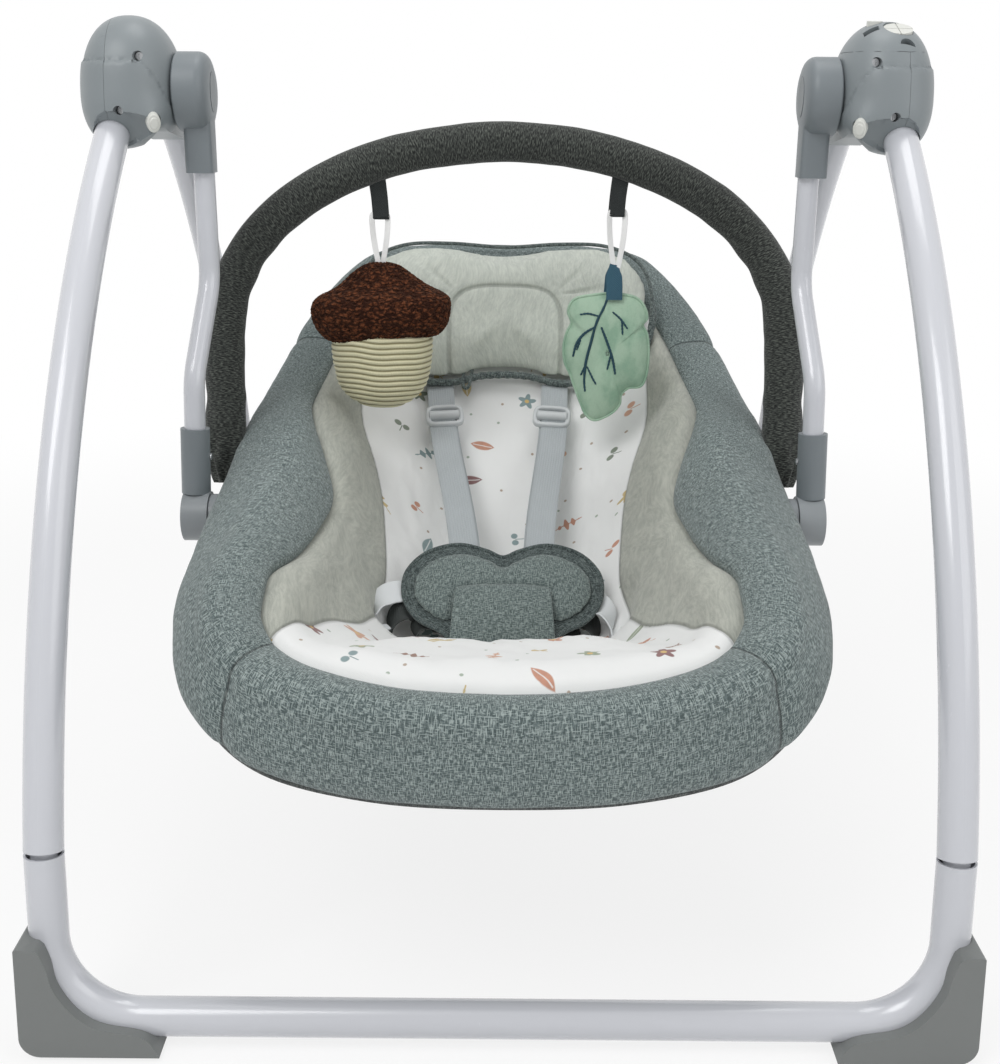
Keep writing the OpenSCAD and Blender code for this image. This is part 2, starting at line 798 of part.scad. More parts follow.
// Bowl-shaped sheet between two drops below the seat's hollow
module bowl_layer(drop, thick) {
  n = len(bowl_steps);
  function face_pts(d) = concat(
    [bowl_point(0, 0, d)],
    [for (s = bowl_steps) for (i = [0:rim_m - 1]) bowl_point(i, s, d)]
  );
  m = rim_m;
  base = 1 + n * m;
  top = [
    for (i = [0:m - 1]) let (j = (i + 1) % m) [0, 1 + j, 1 + i],
    for (k = [0:n - 2]) for (i = [0:m - 1])
      let (j = (i + 1) % m, a = 1 + k * m)
        each [[a + i, a + j, a + m + j], [a + i, a + m + j, a + m + i]]
  ];
  flip = [for (f = top) [f[2] + base, f[1] + base, f[0] + base]];
  o = 1 + (n - 1) * m;
  wall = [
    for (i = [0:m - 1]) let (j = (i + 1) % m)
      each [[o + i, o + j, base + o + j], [o + i, base + o + j, base + o + i]]
  ];
  polyhedron(points = concat(face_pts(drop), face_pts(drop + thick)), faces = concat(top, flip, wall), convexity = 8);
}

module seat_sling() color("darkslategray") bowl_layer(liner_t + 0.4, sling_t);
module seat_liner() color("whitesmoke") bowl_layer(0, liner_t);

// Cushion between two outlines: rounded slab on a tilted plane
module soft_slab(w, l, t, r) {
  loft([
    for (s = [[-0.5, 0.86], [-0.3, 0.97], [0, 1], [0.3, 0.97], [0.5, 0.86]])
      [for (p = rounded_rect(w * s[1], l * s[1], r)) [p.x, p.y, s[0] * t]]
  ]);
}
function rounded_rect(w, l, r) = concat(
  arc2([w / 2 - r, l / 2 - r], r, 0, 90, 4), arc2([-w / 2 + r, l / 2 - r], r, 90, 180, 4),
  arc2([-w / 2 + r, -l / 2 + r], r, 180, 270, 4), arc2([w / 2 - r, -l / 2 + r], r, 270, 360, 4)
);

pillow_w = 176;
pillow_l = 126;
pillow_t = 24;
module head_pillow() {
  color("silver")
    translate([0, 218.4, 387.8])
      rotate([54, 0, 0])
        soft_slab(pillow_w, pillow_l, pillow_t, 40);
}

// ---------- harness ----------
strap_x_top = 50;
strap_x_low = 27;
strap_a = [strap_x_top, 176, 333];
strap_b = [strap_x_low, -41.1, 218.4];
strap_dir = unit(strap_b - strap_a);
module strap_frame(p) {
  side = unit(cross([0, 0.5, -1], strap_dir));
  up = cross(strap_dir, side);
  multmatrix([
    [side.x, strap_dir.x, up.x, p.x], [side.y, strap_dir.y, up.y, p.y],
    [side.z, strap_dir.z, up.z, p.z], [0, 0, 0, 1]
  ])
    children();
}

module shoulder_straps() {
  color("silver")
    for (s = [0, 1])
      mirror([s, 0, 0])
        strap_frame(strap_a)
          translate([-strap_w / 2, 0, -strap_t / 2])
            cube([strap_w, norm(strap_b - strap_a), strap_t]);
}

adjuster_at = 34;
module strap_adjuster() {
  w = strap_w + 8;
  l = 22;
  g = 0.3;
  color("gray")
    strap_frame(strap_a + strap_dir * adjuster_at)
      difference() {
        linear_extrude(height = 6.6, center = true)
          polygon(rounded_rect(w, l, 3));
        translate([-strap_w / 2 - g, -l, -strap_t / 2 - g])
          cube([strap_w + 2 * g, 2 * l, strap_t + 2 * g]);
        // Window through which the webbing shows
        translate([-strap_w / 2 + 2, -6.5, 0])
          cube([strap_w - 4, 4.5, 10]);
        translate([-strap_w / 2 + 2, 2, 0])
          cube([strap_w - 4, 4.5, 10]);
      }
}

buckle_c = [0, -56.5, 207];
buckle_tilt = 34;
module buckle() {
  color("darkslategray")
    translate(buckle_c)
      rotate([buckle_tilt, 0, 0])
        linear_extrude(height = 14, center = true)
          polygon(rounded_rect(86, 36, 9));
}

waist_len = 54;
module waist_straps() {
  color("silver")
    for (s = [0, 1])
      mirror([s, 0, 0])
        along([44.6, -56.5, 207.4], [112, -46, 224])
          translate([-strap_w / 2, -strap_t / 2, 0])
            cube([strap_w, strap_t, waist_len]);
}

module crotch_strap() {
  color("silver")
    translate([0, -83.6, 185.6])
      rotate([-43, 0, 0])
        cube([strap_w + 6, strap_t, 32], center = true);
}

pad_c = [0, -64.2, 219.4];
module heart_pad() {
  // Two lobes above a waist and a rounded tail
  lobes = smooth_loop([
    [0, 32], [20, 44], [50, 44], [67, 24], [60, 0], [40, -12], [34, -38], [16, -50],
    [-16, -50], [-34, -38], [-40, -12], [-60, 0], [-67, 24], [-50, 44], [-20, 44]
  ], 3);
  color("dimgray")
    translate(pad_c)
      rotate([buckle_tilt, 0, 0])
        loft([
          for (s = [[-7, 0.9], [-4, 0.98], [1, 1], [6, 0.95], [9, 0.82]])
            [for (p = lobes) [p.x * s[1], p.y * s[1], s[0]]]
        ]);
}

// Round seat brackets that turn on the arm barrels
disc_x0 = seat_half_w + 0.4;
disc_x1 = arm_low_x - sleeve_d / 2 - body_gap;
module seat_hinge_discs() {
  color("darkgray")
    for (s = [0, 1])
      mirror([s, 0, 0])
        translate([disc_x0, recline_y, recline_z])
          rotate([0, 90, 0])
            union() {
              cylinder(r = barrel_r - 2, h = disc_x1 - disc_x0);
              cylinder(r = 6, h = disc_x1 - disc_x0 + 14.5);
            }
}

// ---------- toy bar ----------
bar_base = [arch_half_w - 2, 14, 290];
bar_lean = 17.3;
bar_up = [0, sin(bar_lean), cos(bar_lean)];
function bar_point(x, s) = [x, bar_base.y, bar_base.z] + bar_up * s;
bar_path = concat(
  [for (k = [0:4]) bar_point(mix(bar_base.x, arch_half_w, sin(18 * k)), arch_side * k / 4 * 0.98)],
  [for (a = [0:9:180]) bar_point(arch_half_w * cos(a), arch_side + arch_h * sin(a))],
  [for (k = [4:-1:0]) bar_point(-mix(bar_base.x, arch_half_w, sin(18 * k)), arch_side * k / 4 * 0.98)]
);
bar_count = len(bar_path);
function bar_dir(i) = unit(bar_path[min(i + 1, bar_count - 1)] - bar_path[max(i - 1, 0)]);
function bar_ring(i, r, n) = let (
  d = bar_dir(i), v = cross([1, 0, 0], bar_up), u = cross(v, d)
) [for (k = [0:n - 1]) bar_path[i] + (u * cos(360 * k / n) + v * sin(360 * k / n)) * r];

module toy_bar_tube() {
  color("silver")
    difference() {
      loft([for (i = [0:bar_count - 1]) bar_ring(i, 6, 8)]);
    }
}

module toy_bar_cover() {
  function skin_r(i) = let (e = min(i, bar_count - 1 - i)) e > 3 ? bar_pad_d / 2 : [8.5, 10, 13, 15][e];
  color("dimgray")
    loft_hollow(
      [for (i = [0:bar_count - 1]) bar_ring(i, skin_r(i), 12)],
      [for (i = [0:bar_count - 1]) bar_ring(i, 6.5, 12)]
    );
}

toy_ang = acos(toy_x / arch_half_w);
toy_hook = bar_point(toy_x, arch_side + arch_h * sin(toy_ang));
tab_len = 27;
tab_top = toy_hook.z - bar_pad_d / 2 - 2.4;
module toy_tabs() {
  color("dimgray")
    for (s = [0, 1])
      mirror([s, 0, 0])
        translate([toy_x - 6.5, toy_hook.y - 2, tab_top - tab_len])
          cube([13, 4, tab_len]);
}

// ---------- toys ----------
ribbon_len = 33;
toy_top = tab_top - tab_len - ribbon_len;
module toy_ribbon(sx) {
  color("white")
    for (k = [-1, 1])
      along([sx * toy_x + k * 1.6, toy_hook.y, tab_top - tab_len - 0.8], [sx * toy_x + k * 7.5, toy_hook.y, toy_top + 0.5])
        translate([-1.4, -2, 0])
          cube([2.8, 4, ribbon_len - 1.4]);
}

acorn_w = 107;
acorn_cup_w = 78;
acorn_d = 62;
module acorn_toy_cap() {
  color("saddlebrown")
    translate([-toy_x, toy_hook.y, toy_top - 51.3])
      loft([
        for (s = [[0, 0.7], [3, 0.92], [12, 1], [24, 0.96], [36, 0.8], [46, 0.56], [52, 0.34]])
          [for (k = [0:23]) [s[1] * acorn_w / 2 * cos(15 * k), s[1] * acorn_d / 2 * sin(15 * k), s[0]]]
      ]);
}

module acorn_toy_cup() {
  color("khaki")
    translate([-toy_x, toy_hook.y, toy_top - 51.6])
      mirror([0, 0, 1])
        loft([
          for (s = [[0, 0.96], [10, 1], [30, 0.96], [46, 0.84], [56, 0.66], [60, 0.45]])
            [for (k = [0:23]) [s[1] * acorn_cup_w / 2 * cos(15 * k), s[1] * acorn_d * 0.42 * sin(15 * k), s[0]]]
        ]);
}

leaf_len = 104;
leaf_w = 68;
module leaf_toy() {
  outline = smooth_loop([
    [0, 0], [15, -1], [25, -14], [34, -20], [30, -36], [33, -58], [22, -72], [20, -88], [6, -92],
    [-2, -104], [-14, -90], [-24, -84], [-24, -66], [-34, -52], [-28, -34], [-31, -16], [-14, -8]
  ], 2);
  stem = rounded_rect(13, 26, 4);
  color("darkseagreen")
    translate([toy_x, toy_hook.y, toy_top - 22.1])
      rotate([90, 0, 0])
        union() {
          loft([
            for (s = [[-9, 0.86], [-5, 0.97], [0, 1], [5, 0.97], [9, 0.86]])
              [for (p = outline) [p.x * s[1] * leaf_w / 68, -50 * leaf_len / 104 + (p.y + 50) * s[1] * leaf_len / 104, s[0]]]
          ]);
          translate([0, 11, -3])
            linear_extrude(height = 6)
              polygon(stem);
        }
}

// ---------- placement ----------
module front_leg_left() left() front_leg();
module front_leg_right() front_leg();
module rear_leg_left() left() rear_leg();
module rear_leg_right() rear_leg();
module front_corner_cover_right() corner_cover(front_x, front_joint_y, front_bar_y, front_d, front_ang_low, -1);
module front_corner_cover_left() left() front_corner_cover_right();
module rear_corner_cover_right() corner_cover(rear_x, rear_joint_y, rear_bar_y, rear_d, rear_ang_low, 1);
module rear_corner_cover_left() left() rear_corner_cover_right();
module front_foot_pads() foot_pads(front_bar_y, -1);
module rear_foot_pads() foot_pads(rear_bar_y, 1);
module hub_outer_shell_left() left() hub_outer_shell(false);
module hub_outer_shell_right() hub_outer_shell(true);
module hub_inner_shell_left() left() hub_inner_shell(false);
module hub_inner_shell_right() hub_inner_shell(true);
module fold_button_left() left() fold_button();
module fold_button_right() fold_button();
module quad_button_front_inner() quad_button(-1, -1);
module quad_button_front_outer() quad_button(1, -1);
module quad_button_rear_inner() quad_button(-1, 1);
module quad_button_rear_outer() quad_button(1, 1);
module rear_socket_left() left() rear_socket();
module rear_socket_right() rear_socket();
module arm_cap_left() left() arm_cap();
module arm_cap_right() arm_cap();
module arm_tube_left() left() arm_tube();
module arm_tube_right() arm_tube();
module arm_sleeve_left() left() arm_sleeve();
module arm_sleeve_right() arm_sleeve();
module strap_adjuster_left() left() strap_adjuster();
module strap_adjuster_right() strap_adjuster();
module acorn_toy_ribbon() toy_ribbon(-1);
module leaf_toy_ribbon() toy_ribbon(1);

front_leg_left();
front_leg_right();
front_base_tube();
front_corner_cover_left();
front_corner_cover_right();
front_foot_pads();
hub_outer_shell_left();
hub_outer_shell_right();
hub_inner_shell_left();
hub_inner_shell_right();
control_panel();
indicator_windows();
hub_screws();
fold_button_left();
fold_button_right();
power_button();
quad_button_front_inner();
quad_button_front_outer();
quad_button_rear_inner();
quad_button_rear_outer();
rear_socket_left();
rear_socket_right();
rear_leg_left();
rear_leg_right();
rear_base_tube();
rear_corner_cover_left();
rear_corner_cover_right();
rear_foot_pads();
swing_pins();
arm_cap_left();
arm_cap_right();
arm_cap_inserts();
arm_tube_left();
arm_tube_right();
arm_sleeve_left();
arm_sleeve_right();
sleeve_screws();
seat_hinge_discs();
seat_hoop();
seat_ring();
seat_sling();
seat_liner();
head_pillow();
shoulder_straps();
waist_straps();
crotch_strap();
buckle();
heart_pad();
strap_adjuster_left();
strap_adjuster_right();
toy_bar_tube();
toy_bar_cover();
toy_tabs();
acorn_toy_cap();
acorn_toy_cup();
acorn_toy_ribbon();
leaf_toy();
leaf_toy_ribbon();
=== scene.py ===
import bmesh
import bpy
import numpy as np
from mathutils import Matrix, Vector


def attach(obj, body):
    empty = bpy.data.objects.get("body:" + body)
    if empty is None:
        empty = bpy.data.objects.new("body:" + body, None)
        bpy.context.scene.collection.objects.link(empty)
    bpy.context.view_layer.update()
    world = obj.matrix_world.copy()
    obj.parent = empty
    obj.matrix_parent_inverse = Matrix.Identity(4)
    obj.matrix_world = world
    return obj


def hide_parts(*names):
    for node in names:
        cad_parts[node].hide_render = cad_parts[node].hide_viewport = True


bl_info = {
    "name": "Baby swing",
    "version": (1, 0, 0),
    "blender": (4, 5, 0),
    "location": "3D View > Sidebar > Baby swing",
    "description": "Folding electric baby swing with a padded seat, toy bar and soft toys, dressed over its CAD frame",
    "category": "Add Mesh",
}

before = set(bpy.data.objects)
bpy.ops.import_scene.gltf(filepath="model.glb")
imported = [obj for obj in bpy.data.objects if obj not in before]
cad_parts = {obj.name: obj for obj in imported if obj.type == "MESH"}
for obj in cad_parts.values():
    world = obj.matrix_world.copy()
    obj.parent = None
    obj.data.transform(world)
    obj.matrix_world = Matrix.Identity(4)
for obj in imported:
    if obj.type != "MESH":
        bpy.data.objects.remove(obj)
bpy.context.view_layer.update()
MM = 0.001

# ---------- shader maths ----------


def srgb(r, g, b):
    """Linear colour, with alpha 1, of an sRGB one given as 0 to 255."""
    c = np.array([r, g, b], float) / 255
    c = np.where(c <= 0.04045, c / 12.92, ((c + 0.055) / 1.055) ** 2.4)
    return (*[float(x) for x in c], 1.0)


def rgba(colour):
    """A colour property, with alpha 1."""
    return (*colour, 1.0)


def mm(length):
    """A length property in millimetres, freed of its single-precision rounding."""
    return round(length / MM, 4)


class Sock:
    """A shader socket: arithmetic on it adds Math nodes, and node() adds any other node."""

    def __init__(self, tree, link=None):
        self.tree, self.link = tree, link

    def node(self, kind, settings=None, inputs=None, out=0):
        """Adds a node, gives it its settings and then the values or links of its sockets, and returns one output."""
        n = self.tree.nodes.new("ShaderNode" + kind)
        for key, value in (settings or {}).items():
            if key == "stops":
                ramp = n.color_ramp.elements
                while len(ramp) < len(value):
                    ramp.new(1.0)
                for element, (at, colour) in zip(ramp, value):
                    element.position, element.color = at, colour
            else:
                setattr(n, key, value)
        for key, value in (inputs or {}).items():
            s = n.inputs[key]
            if isinstance(value, Sock):
                self.tree.links.new(value.link, s)
            else:
                s.default_value = value[:3] if s.type == "VECTOR" and len(value) == 4 else value
        return Sock(self.tree, n.outputs[out])

    def math(self, op, *values):
        return self.node("Math", {"operation": op}, dict(enumerate((self,) + values)))

    def __add__(self, o):
        return self.math("ADD", o)

    def __sub__(self, o):
        return self.math("SUBTRACT", o)

    def __mul__(self, o):
        return self.math("MULTIPLY", o)

    def __truediv__(self, o):
        return self.math("DIVIDE", o)

    def __pow__(self, o):
        return self.math("POWER", o)

    def __rsub__(self, o):
        return self.node("Math", {"operation": "SUBTRACT"}, {0: o, 1: self})

    __radd__, __rmul__ = __add__, __mul__

    def abs(self):
        return self.math("ABSOLUTE")

    def sin(self):
        return self.math("SINE")

    def step(self, a, b):
        """0 below a and 1 above b, smooth between; a may be the larger."""
        inputs = {"Value": self, "From Min": a, "From Max": b}
        return self.node("MapRange", {"interpolation_type": "SMOOTHSTEP"}, inputs)

    def blend(self, a, b):
        """Colour a where this is 0, b where it is 1."""
        return self.node("Mix", {"data_type": "RGBA"}, {0: self, 6: a, 7: b}, 2)

    def part(self, axis):
        """One component of a vector."""
        return self.node("SeparateXYZ", {}, {0: self}, axis)

    def mapped(self, scale=(1, 1, 1), turn=(0, 0, 0), shift=(0, 0, 0)):
        return self.node("Mapping", {}, {"Vector": self, "Scale": scale, "Rotation": turn, "Location": shift})

    def noise(self, scale, detail=2.0, rough=0.5, out=0):
        return self.node("TexNoise", {}, {"Vector": self, "Scale": scale, "Detail": detail, "Roughness": rough}, out)

    def cells(self, scale):
        """Distance to the nearest of a set of scattered points."""
        return self.node("TexVoronoi", {"feature": "F1"}, {"Vector": self, "Scale": scale}, "Distance")

    def vector(self, op, other):
        return self.node("VectorMath", {"operation": op}, {0: self, 1: other})

    def scaled(self, factor):
        """A vector or a colour times a number."""
        return self.node("VectorMath", {"operation": "SCALE"}, {0: self, "Scale": factor})


def multiply(colour, factor):
    """A colour made lighter or darker by a factor socket."""
    return factor.node("VectorMath", {"operation": "SCALE"}, {0: colour, "Scale": factor})


class Finish:
    """A Principled material under construction: at, uv and attribute() give coordinates; make() links what varies."""

    def __init__(self, name):
        self.mat = bpy.data.materials.new(name)
        self.mat.use_nodes = True
        self.tree = self.mat.node_tree
        self.tree.nodes.clear()
        self.s = Sock(self.tree)
        self.at = self.s.node("TexCoord", out="Object")

    def uv(self):
        return self.s.node("UVMap", {"uv_map": "UVMap"})

    def attribute(self, name):
        return self.s.node("Attribute", {"attribute_name": name}, out="Fac")

    def bump(self, height, strength=0.5, distance=0.001):
        return self.s.node("Bump", {}, {"Height": height, "Strength": strength, "Distance": distance})

    def make(self, colour, rough, normal=None, **constants):
        """Base colour and roughness as sockets or values; the other words set Principled's own sockets."""
        p = self.tree.nodes.new("ShaderNodeBsdfPrincipled")
        o = self.tree.nodes.new("ShaderNodeOutputMaterial")
        self.tree.links.new(p.outputs[0], o.inputs[0])
        values = {"Base Color": colour, "Roughness": rough, "Normal": normal}
        values |= {key.replace("_", " "): value for key, value in constants.items()}
        for key, value in values.items():
            if isinstance(value, Sock):
                self.tree.links.new(value.link, p.inputs[key])
            elif value is not None:
                p.inputs[key].default_value = value
        return self.mat


def nap(specular, sheen, spread):
    """Principled values of cloth: a low gloss, and the sheen of its fibres with its roughness."""
    return {"Specular_IOR_Level": specular, "Sheen_Weight": sheen, "Sheen_Roughness": spread}


# ---------- surfaces worked out with numpy, in millimetres ----------


def unit(v):
    """Vectors along the last axis, each divided by its length."""
    v = np.asarray(v, float)
    return v / np.maximum(np.linalg.norm(v, axis=-1, keepdims=True), 1e-12)


def lookup(table, x):
    """Straight-line lookup of x in rows of [x, value]."""
    t = np.asarray(table, float)
    return np.interp(x, t[:, 0], t[:, 1])


def hump(x, width):
    """Bell exp(-(x/width)^2)."""
    return np.exp(-((x / width) ** 2))


def circle(n):
    """n angles spaced evenly round a turn."""
    return np.linspace(0, 2 * np.pi, n, endpoint=False)


def squared(c, power):
    """A sine or cosine raised to a power below 1 with its sign kept, for outlines between round and square."""
    return np.sign(c) * abs(c) ** power


def run_along(path):
    """Distance from the start at each point of an open line."""
    return np.concatenate([[0], np.cumsum(np.linalg.norm(np.diff(path, axis=0), axis=1))])


def smooth_step(a, b, x):
    """0 below a, 1 above b, and 3k^2 - 2k^3 between them."""
    k = np.clip((np.asarray(x, float) - a) / (b - a), 0, 1)
    return k * k * (3 - 2 * k)


def spline(pts, n, closed=False):
    """n points on the Catmull-Rom curve through pts, whose first axis runs along it:
    half of 2b + (c-a)f + (2a-5b+4c-d)f^2 + (3b-3c+d-a)f^3 between b and c."""
    pts = np.asarray(pts, float)
    m = len(pts)
    t = np.linspace(0, m if closed else m - 1, n, endpoint=not closed)
    i = np.minimum(t.astype(int), (m if closed else m - 1) - 1)
    f = (t - i).reshape((-1,) + (1,) * (pts.ndim - 1))
    pick = (lambda k: pts[(i + k) % m]) if closed else (lambda k: pts[np.clip(i + k, 0, m - 1)])
    a, b, c, d = pick(-1), pick(0), pick(1), pick(2)
    return 0.5 * (2 * b + (c - a) * f + (2 * a - 5 * b + 4 * c - d) * f**2 + (3 * b - 3 * c + d - a) * f**3)


def even(path, n):
    """n points spaced evenly along an open line of points."""
    path = np.asarray(path, float)
    s = run_along(path)
    t = np.linspace(0, s[-1], n)
    return np.stack([np.interp(t, s, path[:, k]) for k in range(path.shape[1])], 1)


def ring_section(ru, rv=None, n=24, power=2.0):
    """Closed section (n, 2): the superellipse |x/ru|^p + |y/rv|^p = 1."""
    a, e = circle(n), 2.0 / power
    return np.stack([ru * squared(np.cos(a), e), (ru if rv is None else rv) * squared(np.sin(a), e)], 1)


def tangents(path, closed=False):
    """Unit tangents by central differences."""
    if closed:
        return unit(np.roll(path, -1, 0) - np.roll(path, 1, 0))
    return unit(np.gradient(path, axis=0))


def sweep(path, section, ref, closed=False):
    """Section (m, 2) or (n, m, 2) set square to path (n, 3): its first axis points as nearly along ref as it can."""
    path = np.asarray(path, float)
    t = tangents(path, closed)
    ref = np.broadcast_to(np.asarray(ref, float), path.shape)
    a = unit(ref - (ref * t).sum(1, keepdims=True) * t)
    b = np.cross(t, a)
    s = np.asarray(section, float)
    s = np.broadcast_to(s if s.ndim == 3 else s[None], (len(path),) + s.shape[-2:])
    return path[:, None] + s[..., :1] * a[:, None] + s[..., 1:] * b[:, None]


def normals_of(p, wrap=(False, False)):
    """Unit normals of a grid of points (n, m, 3) by central differences, du x dv."""

    def diff(axis, closed):
        return np.roll(p, -1, axis) - np.roll(p, 1, axis) if closed else np.gradient(p, axis=axis)

    return unit(np.cross(diff(0, wrap[0]), diff(1, wrap[1])))


def wave(p, size, seed=0, octaves=3):
    """Smooth unevenness from -1 to 1 at points p: slanted sines, each octave of half the size and strength."""
    rng = np.random.default_rng(seed)
    total, weight = 0.0, 0.0
    for o in range(octaves):
        d = unit(rng.normal(size=(4, 3))) * (2 * np.pi / (size / 2**o))
        ph = rng.uniform(0, 2 * np.pi, 4)
        total = total + np.sin(p @ d.T + ph).mean(-1) * 0.5**o
        weight += 0.5**o
    return total / weight


class Shape:
    """Surfaces in millimetres gathered into one mesh. add() takes a grid of points (n, m, 3)."""

    def __init__(self):
        self.v, self.f, self.uv, self.mat, self.extra, self.count = [], [], [], [], [], 0

    def add(self, p, wrap=(False, True), caps=False, mat=0, extra=None):
        """wrap closes the grid along its axes, caps closes both ends of the first axis with fans, mat is a material
        index or one for each quad column, and extra gives attributes {name: (n, m)}. The surface is turned to face
        outward by the signed volume about its middle."""
        p = np.asarray(p, float)
        n, m = p.shape[:2]
        i, j = np.meshgrid(np.arange(n if wrap[0] else n - 1), np.arange(m if wrap[1] else m - 1), indexing="ij")
        i, j = i.ravel(), j.ravel()
        i1, j1 = i + 1, j + 1
        quads = np.stack([i * m + j, (i1 % n) * m + j, (i1 % n) * m + j1 % m, i * m + j1 % m], 1)
        du = np.linalg.norm(np.diff(np.concatenate([p, p[:1]]), axis=0), axis=2).mean(1)
        dv = np.linalg.norm(np.diff(np.concatenate([p, p[:, :1]], 1), axis=1), axis=2).mean(0)
        u, v = np.concatenate([[0], np.cumsum(du)]) * MM, np.concatenate([[0], np.cumsum(dv)]) * MM
        quv = np.stack([np.stack([u[a], v[b]], 1) for a, b in ((i, j), (i1, j), (i1, j1), (i, j1))], 1)
        verts, faces, uvs = p.reshape(-1, 3), quads.tolist(), quv.reshape(-1, 2)
        mats = np.broadcast_to(np.asarray(mat), (n if wrap[0] else n - 1, m if wrap[1] else m - 1)).ravel().tolist()
        extra = {k: np.broadcast_to(np.asarray(w, float), (n, m)).ravel() for k, w in (extra or {}).items()}
        if caps:
            ends = np.stack([p[0].mean(0), p[-1].mean(0)])
            k = np.arange(m if wrap[1] else m - 1)
            k1 = (k + 1) % m
            last = (n - 1) * m
            first_fan = np.stack([k1, k, 0 * k + n * m], 1)
            fan = np.concatenate([first_fan, np.stack([k + last, k1 + last, 0 * k + n * m + 1], 1)])
            verts = np.concatenate([verts, ends])
            faces += fan.tolist()
            uvs = np.concatenate([uvs, verts[fan.ravel(), :2] * MM])
            mats += [mats[0]] * len(k) + [mats[-1]] * len(k)
            extra = {a: np.concatenate([w, [w[:m].mean(), w[-m:].mean()]]) for a, w in extra.items()}
        tri = np.concatenate([quads[:, [0, 1, 2]], quads[:, [0, 2, 3]]] + ([fan] if caps else []))
        a, b, c = verts[tri[:, 0]], verts[tri[:, 1]], verts[tri[:, 2]]
        mid = verts.mean(0)
        if (np.cross(a - mid, b - mid) * (c - mid)).sum() < 0:
            sizes = np.array([len(q) for q in faces])
            starts = np.concatenate([[0], np.cumsum(sizes)])[:-1]
            order = np.concatenate([np.arange(s0 + k0 - 1, s0 - 1, -1) for s0, k0 in zip(starts, sizes)])
            uvs = uvs[order]
            faces = [q[::-1] for q in faces]
        self.f += [[x + self.count for x in q] for q in faces] if self.count else faces
        self.v.append(verts)
        self.uv.append(uvs)
        self.mat += mats
        self.extra.append(extra)
        self.count += len(verts)
        return self

    def mesh(self, name):
        me = bpy.data.meshes.new(name)
        verts = np.concatenate(self.v) * MM
        me.from_pydata(verts.tolist(), [], self.f)
        me.uv_layers.new(name="UVMap").data.foreach_set("uv", np.concatenate(self.uv).astype(np.float32).ravel())
        me.polygons.foreach_set("material_index", np.asarray(self.mat, np.int32))
        for key in sorted({k for e in self.extra for k in e}):
            vals = np.concatenate([e.get(key, np.zeros(len(v))) for e, v in zip(self.extra, self.v)])
            me.attributes.new(key, "FLOAT", "POINT").data.foreach_set("value", vals.astype(np.float32))
        me.polygons.foreach_set("use_smooth", np.ones(len(me.polygons), bool))
        me.update()
        return me

    def make(self, name, body, slot, mats, replaces=(), sharp=None):
        """Puts the mesh in the scene, on its body, with its materials; past the angle sharp an edge stays crisp."""
        o = bpy.data.objects.new(name, self.mesh(name))
        bpy.context.scene.collection.objects.link(o)
        for mt in mats if isinstance(mats, (list, tuple)) else [mats]:
            o.data.materials.append(mt)
        if sharp is not None:
            o.data.set_sharp_from_angle(angle=float(np.radians(sharp)))
        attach(o, body)
        if replaces:
            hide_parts(*replaces)
        return o


# ---------- finishes ----------


def woven(f, base, dark, light, fine=0.00062, long=0.0036, seed=0.0):
    """Melange cloth: two sets of threads over and under each other, each thread dyed a little differently along its
    length, so short light and dark flecks run both ways. Returns (colour, height)."""
    uv = f.uv()
    across = uv.mapped(scale=(1 / fine, 1 / long, 1), shift=(seed, 0, 0)).noise(1.0, 2.0, 0.55)
    along = uv.mapped(scale=(1 / long, 1 / fine, 1), shift=(0, seed, 3)).noise(1.0, 2.0, 0.55)
    slub = uv.mapped(scale=(1 / (fine * 1.6), 1 / (long * 3), 1), shift=(seed, 2, 5)).noise(1.0, 2.0, 0.5)
    patch = f.at.noise(9.0, 3.0, 0.55)
    both = across * 0.5 + along * 0.5
    c = both.step(0.44, 0.53).blend(dark, base)
    c = (across.step(0.53, 0.63) * 0.8).blend(c, light)
    c = (along.step(0.54, 0.64) * 0.7).blend(c, light)
    c = (slub.step(0.60, 0.68) * 0.5).blend(c, light)
    return multiply(c, patch * 0.2 + 0.9), both * 1.4 + slub * 0.4


def melange_finish(name, base, dark, light):
    """Melange cloth with a dip where the attribute seam is within 1.5 mm, darkened there by a line of painted shade."""
    f = Finish(name)
    colour, height = woven(f, base, dark, light)
    line = f.attribute("seam").abs().step(1.5, 0.4)
    # painted shade: the colour is up to 55% darker in the seam's dip
    colour = multiply(colour, 1 - line * 0.55)
    h = height + f.at.noise(55.0, 2.0) * 1.2 - line * 2.2
    return f.make(colour, 0.93, f.bump(h, 0.42, 0.0007), **nap(0.25, 0.18, 0.5))


def heather_finish(base):
    """Dark heather knit of the toy bar: short pale flecks that all lean the same way over near-black wool."""
    f = Finish("bar_heather")
    uv = f.uv()
    lean = uv.mapped(scale=(1 / 0.0008, 1 / 0.0034, 1), turn=(0, 0, 0.75)).noise(1.0, 2.0, 0.55)
    other = uv.mapped(scale=(1 / 0.0009, 1 / 0.0022, 1), turn=(0, 0, -0.9)).noise(1.0, 2.0, 0.55)
    patch = f.at.noise(22.0, 3.0, 0.55)
    c = lean.step(0.40, 0.60).blend(srgb(34, 36, 35), base)
    c = (lean.step(0.56, 0.66) * 0.55).blend(c, srgb(112, 116, 108))
    c = multiply(c, other * 0.5 + 0.72)
    c = multiply(c, patch * 0.3 + 0.85)
    return f.make(c, 0.92, f.bump(lean * 1.2 + other * 0.6, 0.5, 0.0008), **nap(0.22, 0.2, 0.5))


def charcoal_finish(name, base):
    """The same cloth in charcoal."""
    f = Finish(name)
    colour, height = woven(f, base, srgb(38, 42, 42), srgb(108, 113, 110), seed=4.0)
    h = height + f.at.noise(40.0, 2.0)
    return f.make(colour, 0.92, f.bump(h, 0.45, 0.0008), **nap(0.22, 0.2, 0.5))


